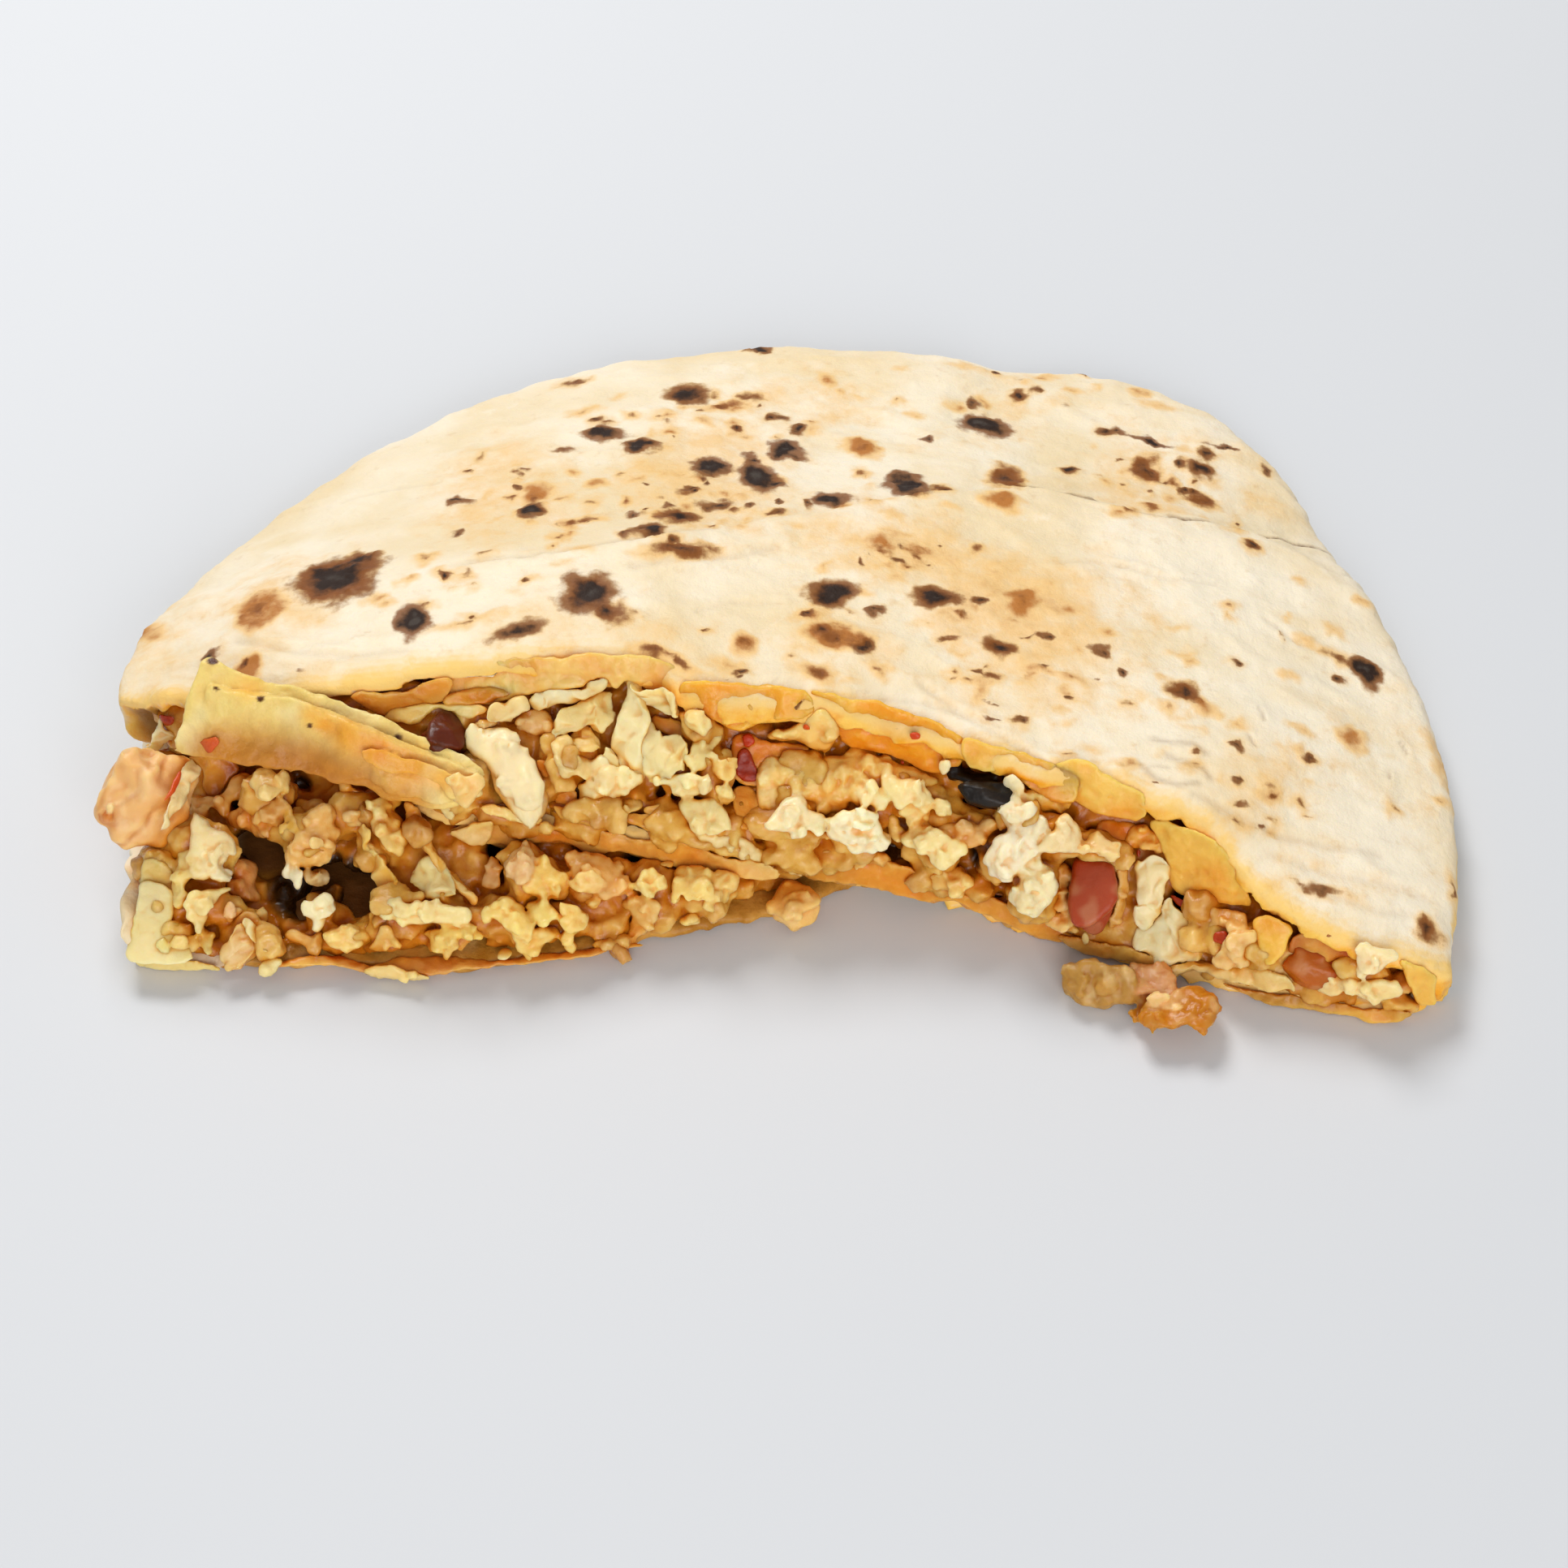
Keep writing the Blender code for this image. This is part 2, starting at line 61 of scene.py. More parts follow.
camera = bpy.data.objects.new("camera", bpy.data.cameras.new("camera"))
camera.data.lens = LENS
camera.data.sensor_width = SENSOR
camera.location = AIM + STAND_OFF * Vector((0, -math.cos(LOOK_DOWN), math.sin(LOOK_DOWN)))
camera.rotation_euler = (math.pi / 2 - LOOK_DOWN, 0, 0)
bpy.context.scene.collection.objects.link(camera)
bpy.context.scene.camera = camera
FOCUS = LENS / SENSOR * PICTURE


def sight(across, down):
    """The direction in which the camera sees a pixel."""
    way = Vector((across - PICTURE / 2, PICTURE / 2 - down, -FOCUS))
    return (camera.rotation_euler.to_matrix() @ way).normalized()


def seen_on(tree, across, down):
    """Where the line of sight meets a piece: the place, the facing and the metres that a pixel spans."""
    place, facing, _, distance = tree.ray_cast(camera.location, sight(across, down))
    if place is None:
        return None
    return place, facing, distance / FOCUS


# Upper naan: a pocket of thin wheat dough, baked against a hot wall until it blisters and chars,
# then cut across. Its solid is copied, remeshed into a fine skin, creased and blistered.
SKIN_VOXEL = 1.48 * MM
BLISTER = 0.55 * MM
LOWEST = 0.05 * MM
HIGHEST = 40.9 * MM


def chosen(piece):
    """Makes a piece the only one selected, and the active one."""
    bpy.ops.object.select_all(action="DESELECT")
    piece.select_set(True)
    bpy.context.view_layer.objects.active = piece


def copied(name, node):
    """A merged copy of a solid's mesh, free of the frame, for working on."""
    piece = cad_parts[node].copy()
    piece.data = piece.data.copy()
    piece.name = piece.data.name = name
    piece.parent = None
    for key in list(piece.keys()):
        del piece[key]
    bpy.context.scene.collection.objects.link(piece)
    chosen(piece)
    bpy.ops.mesh.customdata_custom_splitnormals_clear()
    bpy.ops.object.mode_set(mode="EDIT")
    bpy.ops.mesh.select_all(action="SELECT")
    bpy.ops.mesh.remove_doubles(threshold=0.01 * MM)
    bpy.ops.object.mode_set(mode="OBJECT")
    return piece


def worked(piece, kind, **settings):
    """Adds one modifier and applies it."""
    modifier = piece.modifiers.new(kind.lower(), kind)
    for name, value in settings.items():
        setattr(modifier, name, value)
    chosen(piece)
    bpy.ops.object.modifier_apply(modifier=modifier.name)
    return piece


def remeshed(piece, voxel, smoothing):
    """Rebuilds a piece as one skin of evenly spaced faces, then smooths it."""
    worked(piece, "REMESH", mode="VOXEL", voxel_size=voxel, use_smooth_shade=True)
    return worked(piece, "SMOOTH", factor=0.5, iterations=smoothing)


def rough_up(piece, size, depth, kind="CLOUDS", detail=2):
    """Pushes the surface in and out by a procedural texture of that grain."""
    texture = bpy.data.textures.new(piece.name + "_relief", kind)
    texture.noise_scale = size
    if kind == "CLOUDS":
        texture.noise_depth = detail
    worked(piece, "DISPLACE", texture=texture, texture_coords="GLOBAL", strength=depth)


def points_of(piece):
    """The place of every point, one to a row."""
    flat = np.zeros(len(piece.data.vertices) * 3, np.float32)
    piece.data.vertices.foreach_get("co", flat)
    return flat.reshape(-1, 3).astype(float)


def facings_of(piece):
    """The way that the surface faces at every point."""
    flat = np.zeros(len(piece.data.vertices) * 3, np.float32)
    piece.data.vertex_normals.foreach_get("vector", flat)
    return flat.reshape(-1, 3).astype(float)


def put_points(piece, points):
    """Moves every point of a piece to its new place."""
    piece.data.vertices.foreach_set("co", points.astype(np.float32).ravel())
    piece.data.update()


def kept_in(piece):
    """Brings back whatever stands below the floor, or above the top of the food."""
    points = points_of(piece)
    points[:, 2] = np.clip(points[:, 2], LOWEST, HIGHEST)
    put_points(piece, points)


def rise(values, low, high):
    """0 below low, 1 above high and a smooth rise between, for numbers and arrays."""
    share = np.clip((values - low) / (high - low), 0.0, 1.0)
    return share * share * (3 - 2 * share)


def wander(points, size, seed=0.0):
    """A smooth noise vector at each point, of the given grain."""
    shift = Vector((seed, 0, 0))
    return np.array([noise.noise_vector(Vector(point) / size + shift) for point in points])


def painted(piece, name, values):
    """Stores a number, or a colour, at each point for the material to read."""
    colour = np.ndim(values) == 2
    layer = piece.data.attributes.new(name, "FLOAT_COLOR" if colour else "FLOAT", "POINT")
    layer.data.foreach_set("color" if colour else "value", np.asarray(values, np.float32).ravel())


def tree_of(*pieces):
    """One search tree over the faces of several pieces."""
    places, faces = [], []
    for piece in pieces:
        start = len(places)
        places.extend(point.co.copy() for point in piece.data.vertices)
        faces.extend([start + index for index in face.vertices] for face in piece.data.polygons)
    return BVHTree.FromPolygons(places, faces)


def faces_chosen(piece, wanted):
    """Opens a piece in edit mode with the wanted faces selected."""
    chosen(piece)
    bpy.context.tool_settings.mesh_select_mode = (False, False, True)
    bpy.ops.object.mode_set(mode="EDIT")
    bpy.ops.mesh.select_all(action="DESELECT")
    bpy.ops.object.mode_set(mode="OBJECT")
    piece.data.polygons.foreach_set("select", wanted)
    bpy.ops.object.mode_set(mode="EDIT")


def subdivided(piece, wanted):
    """Cuts each wanted face into four."""
    faces_chosen(piece, wanted)
    bpy.ops.mesh.subdivide(number_cuts=1, smoothness=0)
    bpy.ops.object.mode_set(mode="OBJECT")


def thinned(piece, wanted, ratio):
    """Merges the wanted faces into fewer."""
    faces_chosen(piece, wanted)
    bpy.ops.mesh.decimate(ratio=ratio)
    bpy.ops.object.mode_set(mode="OBJECT")


def open_upward(piece, places, facings):
    """Which places face up and have nothing of the piece above them."""
    tree = tree_of(piece)
    up = Vector((0, 0, 1))
    found = []
    for place, facing in zip(places, facings):
        start = Vector(place) + Vector(facing) * 0.4 * MM
        found.append(facing[2] > 0.05 and tree.ray_cast(start, up)[0] is None)
    return np.array(found)


def joined(first, *others):
    """Joins the other pieces to the first."""
    chosen(first)
    for other in others:
        other.select_set(True)
    bpy.ops.object.join()
    return first


# Where the side wall is thinner than the new mesh's spacing, a flattened ball backs it from inside, in mm
THIN_WALLS = ((-117.2, -5.5, 15.5), (117.9, -54.5, 4.5))
BACKING_RADIUS = 4.5 * MM
BACKING_SQUASH = np.array((0.27, 1, 1))
naan_top = copied("naan_top", "bread_upper")
for place_mm in THIN_WALLS:
    bpy.ops.mesh.primitive_uv_sphere_add(segments=24, ring_count=12, radius=BACKING_RADIUS)
    backing = bpy.context.object
    put_points(backing, points_of(backing) * BACKING_SQUASH + np.array(place_mm) * MM)
    joined(naan_top, backing)
remeshed(naan_top, SKIN_VOXEL, smoothing=7)

# The underside and the inside of the pocket keep this share of their faces
HIDDEN_RATIO = 0.16
POCKET_HEIGHT = 40 * MM


def face_lay(piece):
    """The middle and the facing of every face of a piece."""
    faces = piece.data.polygons
    return [face.center.copy() for face in faces], [face.normal.copy() for face in faces]


def in_pocket(tree, places, facings):
    """Which places face another wall of the same piece across the pocket."""
    return np.array([tree.ray_cast(Vector(place + facing * MM), Vector(facing), POCKET_HEIGHT)[0] is not None
                     for place, facing in zip(places, facings)])


def seen_cut(tree, places, facings):
    """Which places face the front with nothing between them and the camera."""
    found = []
    for place, facing in zip(places, facings):
        way = camera.location - place
        found.append(facing.y < -0.35 and tree.ray_cast(place + facing * MM, way)[0] is None)
    return np.array(found)


places, facings = face_lay(naan_top)
leans = np.array([facing.z for facing in facings])
hidden = (leans < -0.3) | (leans < 0.6) & in_pocket(tree_of(naan_top), places, facings)
thinned(naan_top, hidden, HIDDEN_RATIO)
blockers = tree_of(naan_top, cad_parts["filling_upper"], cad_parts["filling_lower"])
places, facings = face_lay(naan_top)
at_the_cut = seen_cut(blockers, places, facings)
subdivided(naan_top, open_upward(naan_top, places, facings) | at_the_cut)
worked(naan_top, "SMOOTH", factor=0.5, iterations=3)
rough_up(naan_top, size=26 * MM, depth=1.6 * MM)
rough_up(naan_top, size=7 * MM, depth=0.7 * MM, detail=3)

# Scorched places that are seen: across, down, width, height, degrees turned, char and browning
SCORCHES = (
    (415, 715, 92, 46, 5, 0.95, 1.0), (440, 695, 50, 20, 12, 0.8, 0.7),
    (320, 755, 56, 44, 0, 0.45, 0.8), (510, 766, 34, 26, 0, 1.1, 0.5),
    (725, 735, 62, 40, -20, 1.0, 0.8), (748, 755, 50, 24, -25, 0.8, 0.8),
    (632, 778, 74, 16, 25, 0.8, 0.6), (575, 768, 60, 7, 12, 0.45, 0.7),
    (835, 683, 74, 18, 12, 0.75, 0.9), (1025, 733, 52, 30, 10, 1.0, 0.8),
    (1150, 735, 56, 22, -8, 0.9, 0.8), (1260, 740, 40, 36, -20, 0.36, 0.85),
    (1030, 788, 74, 36, -10, 0.5, 0.85), (1060, 800, 22, 20, 0, 0.8, 0.5),
    (1005, 830, 44, 15, 0, 0.55, 0.9), (1230, 800, 42, 22, 0, 0.8, 0.9),
    (1295, 832, 84, 9, -8, 0.35, 0.8), (1355, 803, 16, 10, 0, 0.8, 0.6),
    (1385, 832, 14, 10, -20, 0.9, 0.5), (1458, 855, 40, 22, -10, 0.8, 0.9),
    (1475, 868, 36, 12, -20, 0.4, 0.9), (1685, 832, 40, 24, -10, 1.1, 0.7),
    (1650, 812, 40, 9, -25, 0.6, 0.7), (1665, 915, 36, 24, -15, 0.0, 0.75),
    (1715, 1000, 12, 11, 0, 0.45, 0.7), (1603, 992, 12, 12, 0, 0.5, 0.7),
    (1620, 1098, 60, 11, -3, 0.7, 0.6), (1757, 1145, 30, 20, -25, 0.75, 0.8),
    (1210, 525, 54, 20, -5, 1.1, 0.5), (1118, 600, 46, 22, 5, 1.1, 0.5),
    (1025, 617, 40, 12, 3, 1.0, 0.4), (967, 557, 36, 18, 8, 1.1, 0.4), (875, 577, 34, 22, 0, 1.1, 0.5),
    (935, 590, 44, 26, 15, 1.1, 0.5), (955, 600, 22, 10, 0, 0.9, 0.4),
    (845, 486, 46, 18, -15, 0.9, 0.7), (745, 537, 44, 12, 5, 0.9, 0.5), (787, 553, 36, 18, 0, 1.0, 0.7),
    (660, 608, 36, 26, 0, 0.3, 0.8), (655, 632, 26, 15, 0, 1.0, 0.5), (565, 620, 26, 10, -8, 0.9, 0.6),
    (593, 563, 14, 12, 0, 0.5, 0.6), (697, 557, 40, 8, 0, 0.7, 0.5), (560, 661, 18, 9, 0, 0.8, 0.5),
    (800, 655, 36, 12, 25, 0.9, 0.7), (835, 640, 40, 14, 20, 0.8, 0.9),
    (880, 625, 44, 10, 10, 0.8, 0.7), (850, 606, 28, 9, -10, 0.7, 0.7), (905, 632, 30, 9, 20, 0.6, 0.8),
    (955, 632, 26, 10, 0, 0.75, 0.8), (775, 660, 26, 8, 0, 0.7, 0.7),
    (1062, 553, 34, 26, 30, 0.35, 0.95), (1237, 590, 46, 24, -5, 0.75, 0.9),
    (1232, 622, 50, 24, 0, 0.25, 0.8), (1412, 580, 32, 30, 0, 0.75, 1.0),
    (1482, 580, 28, 18, -15, 0.9, 0.8), (1478, 618, 34, 15, 0, 0.6, 0.8),
    (1418, 543, 54, 7, -22, 0.9, 0.3), (1363, 533, 30, 10, 10, 0.8, 0.6),
    (1378, 532, 16, 8, 0, 0.8, 0.4), (1283, 441, 34, 10, -5, 1.0, 0.4),
    (1128, 435, 44, 9, -3, 0.9, 0.6), (935, 433, 28, 9, 0, 0.9, 0.6), (1503, 504, 26, 8, -20, 0.9, 0.4),
    (707, 473, 34, 8, 10, 0.7, 0.7), (283, 678, 28, 10, 30, 0.8, 0.7), (185, 780, 34, 34, 50, 0.2, 0.6),
    (1508, 553, 44, 5, -5, 0.8, 0.4), (1580, 573, 16, 5, -30, 0.8, 0.3),
    (1085, 672, 36, 16, 0, 0.1, 0.8), (1130, 680, 48, 10, -15, 0.35, 0.8),
    (1107, 660, 36, 8, 0, 0.2, 0.7), (890, 503, 52, 11, 10, 0.6, 0.95), (925, 494, 26, 8, 0, 0.65, 0.7),
    (1018, 470, 18, 14, 0, 0.3, 0.8), (1385, 633, 26, 12, 30, 0.55, 0.8),
    (1417, 626, 26, 12, 0, 0.5, 0.8), (1690, 742, 12, 10, 0, 0.0, 0.8), (905, 836, 26, 4, -4, 0.8, 0.2),
    (1225, 868, 36, 6, -22, 0.6, 0.5), (1225, 885, 34, 5, -15, 0.75, 0.4),
    (1220, 838, 30, 9, -5, 0.55, 0.8), (1180, 830, 22, 8, 0, 0.5, 0.7),
    (1207, 850, 12, 24, 0, 0.2, 0.8), (915, 795, 18, 16, 0, 0.45, 0.9), (900, 820, 30, 11, 0, 0.2, 0.7),
    (975, 810, 12, 12, 0, 0.5, 0.6), (1000, 762, 24, 12, 0, 0.4, 0.8), (1180, 760, 40, 8, 0, 0.45, 0.8),
    (1315, 752, 18, 22, 0, 0.1, 0.7), (1330, 800, 18, 16, 0, 0.1, 0.7),
    (1765, 905, 14, 26, 10, 0.2, 0.5), (1772, 940, 12, 30, 5, 0.1, 0.6),
    (1575, 935, 50, 16, 10, 0.0, 0.35), (1560, 965, 30, 12, 0, 0.3, 0.5),
    (1620, 1068, 44, 18, 5, 0.0, 0.35), (1548, 1000, 24, 20, 0, 0.1, 0.45),
    (305, 828, 36, 22, -10, 0.3, 1.0), (303, 820, 12, 5, 0, 0.8, 0.4),
    (262, 810, 18, 14, 30, 0.75, 0.4), (375, 828, 18, 6, 0, 0.5, 0.4), (720, 510, 26, 6, 0, 0.3, 0.6),
    (1200, 455, 40, 6, 0, 0.2, 0.5), (1260, 470, 24, 6, 0, 0.4, 0.4), (1140, 545, 24, 7, 0, 0.8, 0.4),
    (1430, 500, 30, 6, -10, 0.2, 0.6), (1310, 500, 20, 6, 0, 0.45, 0.4),
    (820, 520, 20, 6, 0, 0.55, 0.5), (905, 535, 22, 12, 0, 0.3, 0.6), (650, 580, 18, 7, 0, 0.6, 0.5),
    (925, 570, 18, 14, 0, 0.9, 0.5), (1555, 625, 30, 10, 0, 0.1, 0.45),
    (808, 805, 40, 12, -12, 0.65, 0.9), (838, 818, 34, 10, -38, 0.65, 0.9),
    (1795, 1057, 8, 16, 0, 0.9, 0.5), (1787, 1095, 8, 14, 0, 0.5, 0.6),
)
# Clusters of small specks that are seen: across, down, width, height and how many
SPECKLES = (
    (1450, 930, 460, 260, 22), (1120, 800, 520, 130, 18), (1520, 620, 340, 130, 10),
    (680, 720, 420, 160, 9), (900, 500, 500, 60, 8), (850, 620, 200, 90, 60), (640, 610, 120, 120, 24),
    (900, 520, 300, 60, 26), (1100, 620, 240, 60, 16), (1420, 590, 200, 110, 26),
    (1240, 790, 190, 150, 26), (1120, 690, 200, 50, 20), (1030, 760, 140, 110, 16),
    (1250, 480, 300, 60, 16), (700, 660, 120, 60, 12), (1540, 800, 300, 260, 16),
    (1580, 960, 260, 160, 14), (560, 740, 240, 80, 12), (1300, 880, 200, 60, 8),
)
# Golden patches that are seen, where the dough has browned a little: across, down, width, height
# and browning
GOLDEN = (
    (620, 610, 190, 130, 0.3), (870, 590, 220, 150, 0.36), (1110, 680, 240, 70, 0.42),
    (1250, 760, 220, 150, 0.42), (1240, 870, 160, 60, 0.3), (1040, 790, 130, 90, 0.32),
    (1410, 600, 150, 80, 0.32), (1300, 840, 180, 70, 0.34), (360, 730, 180, 100, 0.3),
    (200, 800, 90, 110, 0.3), (1620, 1065, 160, 40, 0.26), (1570, 950, 110, 60, 0.28),
    (1480, 1010, 150, 50, 0.3), (1665, 920, 60, 50, 0.3), (720, 745, 120, 70, 0.28),
    (1000, 500, 200, 80, 0.28), (1230, 520, 160, 60, 0.25), (820, 780, 140, 60, 0.26),
    (1380, 760, 160, 160, 0.24), (1750, 950, 60, 160, 0.25),
)
# Creases that are seen: their width and depth in mm, how dark the shade painted along them is, and the line
CREASES = (
    (0.55, 0.5, 0.8, ((1240, 600), (1290, 605), (1340, 622), (1400, 638), (1440, 642))),
    (0.55, 0.5, 0.9, ((1440, 642), (1500, 652), (1560, 668), (1620, 662), (1645, 655))),
    (1.0, 0.14, 0.3, ((1420, 912), (1446, 918), (1470, 916), (1486, 930))),
    (1.0, 0.14, 0.3, ((1440, 932), (1462, 940), (1480, 946), (1490, 962))),
    (1.0, 0.14, 0.3, ((1404, 940), (1424, 962), (1452, 972), (1476, 964))),
    (1.0, 0.5, 0.0, ((330, 800), (400, 792), (460, 802), (530, 796))),
    (1.2, 0.6, 0.1, ((290, 780), (360, 812), (420, 815), (500, 806))),
    (0.8, 0.5, 0.15, ((640, 690), (720, 684), (800, 668), (880, 652))),
    (1.0, 0.6, 0.1, ((780, 706), (850, 694), (910, 690), (960, 672))),
    (1.2, 0.2, 0.15, ((1470, 985), (1560, 1030), (1640, 1046), (1700, 1048))),
    (1.2, 0.2, 0.1, ((1560, 1060), (1640, 1082), (1720, 1092), (1770, 1110))),
    (1.2, 0.2, 0.15, ((1500, 1000), (1540, 1022), (1600, 1034))),
    (1.2, 0.2, 0.1, ((1640, 1110), (1700, 1130), (1745, 1120))),
    (0.5, 0.3, 0.2, ((1380, 948), (1400, 940), (1440, 944))),
    (0.5, 0.3, 0.35, ((1552, 872), (1557, 892))),
    (0.5, 0.3, 0.3, ((1538, 905), (1545, 922))),
    (0.5, 0.3, 0.3, ((1725, 915), (1733, 930))),
    (0.5, 0.3, 0.3, ((1709, 952), (1711, 962))),
    (0.9, 0.5, 0.1, ((1090, 868), (1140, 866), (1180, 880), (1230, 900))),
    (0.9, 0.5, 0.05, ((560, 700), (600, 690), (660, 694))),
    (0.8, 0.4, 0.05, ((420, 620), (480, 600), (540, 604))),
    (0.8, 0.4, 0.05, ((860, 760), (900, 740), (960, 742))),
    (0.8, 0.4, 0.05, ((1380, 700), (1440, 720), (1500, 716))),
    (0.8, 0.4, 0.08, ((1560, 760), (1600, 800), (1640, 806))),
    (0.8, 0.4, 0.08, ((1580, 600), (1610, 640), (1640, 650))),
    (0.9, 0.5, 0.1, ((1130, 925), (1200, 940), (1290, 960))),
    (0.8, 0.4, 0.05, ((1300, 700), (1350, 690), (1400, 700))),
)
# The edge of the upper layer of dough that is seen across the top, its step, and how much of a crease's
# depth is used
LAYER_EDGE = (
    (500, 706), (576, 698), (680, 690), (789, 677), (870, 655), (940, 640), (1000, 640), (1080, 625),
    (1180, 606), (1264, 604), (1330, 607), (1375, 639), (1450, 654), (1540, 652), (1590, 666), (1640, 655),
)
LAYER_STEP = 0.8 * MM
CREASE_LIFT = 0.6
# Places where the naan's edge is drawn out: across, down, reach in mm and how far in mm
PULLS = ((142, 852, 8, (-2.4, -1.4, 0.3)), (205, 872, 8, (0.0, 0.4, 2.2)), (150, 886, 9, (9.0, 4.0, 1.0)),
         (172, 905, 7, (5.0, 3.0, 1.0)))


def scorch_rows(tree):
    """Every scorched place as x, y, half width, half depth, turn, char and browning on the naan."""
    draw = random.Random(5)
    rows = list(SCORCHES)
    for across, down, wide, high, many in SPECKLES:
        for _ in range(many):
            place = (draw.gauss(across, wide / 4), draw.gauss(down, high / 4))
            size = draw.uniform(6, 20)
            rows.append((*place, size, size * draw.uniform(0.3, 0.6), draw.uniform(-25, 25),
                         draw.choice((0.0, 0.3, 0.5, 0.8)), draw.uniform(0.5, 0.9)))
    rows += [(across, down, wide, high, 0, 0.0, browning) for across, down, wide, high, browning in GOLDEN]
    for across, down, wide, high, turn, char, browning in rows:
        hit = seen_on(tree, across, down)
        if hit is None or hit[1].z < 0.1:
            continue
        place, facing, pixel = hit
        slant = max(abs(facing.dot(sight(across, down))), 0.4)
        half_wide, half_deep = wide * pixel / 2, high * pixel / slant / 2
        yield place.x, place.y, half_wide, half_deep, math.radians(turn), char, browning


# How wide the browned halo round a scorch is in mm, and how much wider round a golden patch
HALO_MM = 1.8
GOLDEN_HALO = 4


def scorched(points, rows):
    """How charred and how browned each point is, with the patches' outlines bent by noise."""
    bent = points[:, :2] + 1.7 * MM * wander(points, 4.5 * MM)[:, :2]
    bent += 0.8 * MM * wander(points, 1.7 * MM, 9)[:, :2]
    char, brown = np.zeros(len(points)), np.zeros(len(points))
    for x, y, half_wide, half_deep, turn, char_most, brown_most in rows:
        halo = GOLDEN_HALO * HALO_MM if brown_most < 0.5 else HALO_MM
        reach = 2 * max(half_wide, half_deep) + 2 * halo * MM
        near = np.where((abs(bent[:, 0] - x) < reach) & (abs(bent[:, 1] - y) < reach))[0]
        dx, dy = bent[near, 0] - x, bent[near, 1] - y
        along = dx * math.cos(turn) + dy * math.sin(turn)
        over = dy * math.cos(turn) - dx * math.sin(turn)
        share = np.hypot(along / half_wide, over / half_deep)
        outside = (share - 1) * min(half_wide, half_deep) / MM
        char[near] = np.maximum(char[near], char_most * np.clip(1 - 0.5 * share, 0, 1))
        brown[near] = np.maximum(brown[near], brown_most * np.clip(0.6 - outside / (2 * halo), 0, 1))
    return char, brown


def seen_line(tree, line):
    """A seen line as points on a piece, with its depth evened out."""
    away = [tree.ray_cast(camera.location, sight(*spot))[3] for spot in line]
    known = [value for value in away if value]
    away = [value or sum(known) / len(known) for value in away]
    for _ in range(2):
        padded = [away[0], *away, away[-1]]
        away = [(a + 2 * b + c) / 4 for a, b, c in zip(padded, padded[1:], padded[2:])]
    return [camera.location + sight(*spot) * value for spot, value in zip(line, away)]


def distance_to_line(points, line):
    """Each point's distance, seen from above, to a line of places."""
    line = np.array([place[:2] for place in line])
    nearest = np.full(len(points), 1.0)
    for start, end in zip(line, line[1:]):
        way = end - start
        share = np.clip(((points[:, :2] - start) @ way) / (way @ way), 0, 1)
        offset = points[:, :2] - start - share[:, None] * way
        nearest = np.minimum(nearest, np.linalg.norm(offset, axis=1))
    return nearest


INWARD = 1.4 * MM
ABOVE_ALL = 0.1
DOWN = Vector((0, 0, -1))


def below_skin(tree, points):
    """How far each point lies below the naan's top skin, just inward of it."""
    depth = np.zeros(len(points))
    for index, point in enumerate(points):
        hit = tree.ray_cast(Vector((point[0], point[1] + INWARD, ABOVE_ALL)), DOWN)[0]
        if hit is not None:
            depth[index] = hit.z - point[2]
    return depth


def wrinkles(points, size, stretch, seed):
    """Low ridges that run along x: 1 on a ridge and 0 between them."""
    flat = points * np.array((1 / stretch, 1, 0.3)) / size
    shift = Vector((0, 0, seed))
    return np.array([1 - min(abs(noise.noise(Vector(point) + shift)) * 3, 1) for point in flat])


def rim_share(tree, points, wanted):
    """How near each wanted point is to the cut edge in front of it, from 0 at 8 mm to 1 at the edge."""
    share = np.zeros(len(points))
    for index in np.where(wanted)[0]:
        x, y, z = points[index]
        for step_mm in (7, 5.5, 4, 2.5, 1.2):
            hit = tree.ray_cast(Vector((x, y - step_mm * MM, ABOVE_ALL)), DOWN)[0]
            if hit is not None and hit.z > z - 4 * MM:
                break
            share[index] = 1 - step_mm / 8
    return share


def near_seen(points, tree, across, down, wide, soft=0.5):
    """1 within a seen patch and 0 outside it, with a soft edge."""
    hit = seen_on(tree, across, down)
    if hit is None:
        return np.zeros(len(points))
    away = np.linalg.norm(points - np.array(hit[0]), axis=1) / (wide * hit[2])
    return 1 - rise(away, 1 - soft, 1 + soft)


def pulled(points, place, reach, move):
    """Drags the points near a place, less the further they are from it."""
    away = np.linalg.norm(points - np.array(place), axis=1) / reach
    return points + (1 - rise(away, 0.0, 1.0))[:, None] * np.array(move)


# Blisters that stand above this height are pressed down by this share
PRESSED_ABOVE = 39.3 * MM
PRESSED_SHARE = 0.45
# The shaded wall under the left tip that is seen: across, down and width
SHADED_END = (190, 898, 40)
# Hollows between the curds that are seen, pushed in and darkened with painted shade: across, down, width and
# depth in mm
HOLLOWS = (
    (330, 1042, 84, 10), (372, 1095, 84, 10), (412, 1080, 66, 8), (445, 1105, 60, 7), (605, 960, 26, 5),
    (665, 925, 24, 5), (918, 950, 44, 5), (820, 978, 30, 4), (780, 1018, 40, 6), (620, 1050, 54, 7),
    (780, 1060, 34, 6), (1205, 990, 50, 6), (1218, 1050, 46, 6), (1100, 1045, 30, 4),
    (1130, 1070, 34, 4), (1455, 1112, 44, 6), (1500, 1147, 34, 5), (1615, 1180, 50, 5),
    (1600, 1197, 40, 4), (1740, 1200, 40, 3), (817, 1112, 20, 4), (605, 1165, 34, 4),
    (440, 1090, 70, 6), (465, 1128, 26, 4), (628, 1085, 24, 5), (575, 1098, 26, 4), (290, 985, 34, 5),
    (370, 965, 40, 4), (300, 1015, 20, 3), (285, 1130, 30, 4), (200, 1115, 26, 3),
)
solids = tree_of(*[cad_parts[node] for node in (
    "bread_upper", "bread_lower", "filling_upper", "filling_lower", "browned_chunk", "bread_flap")])


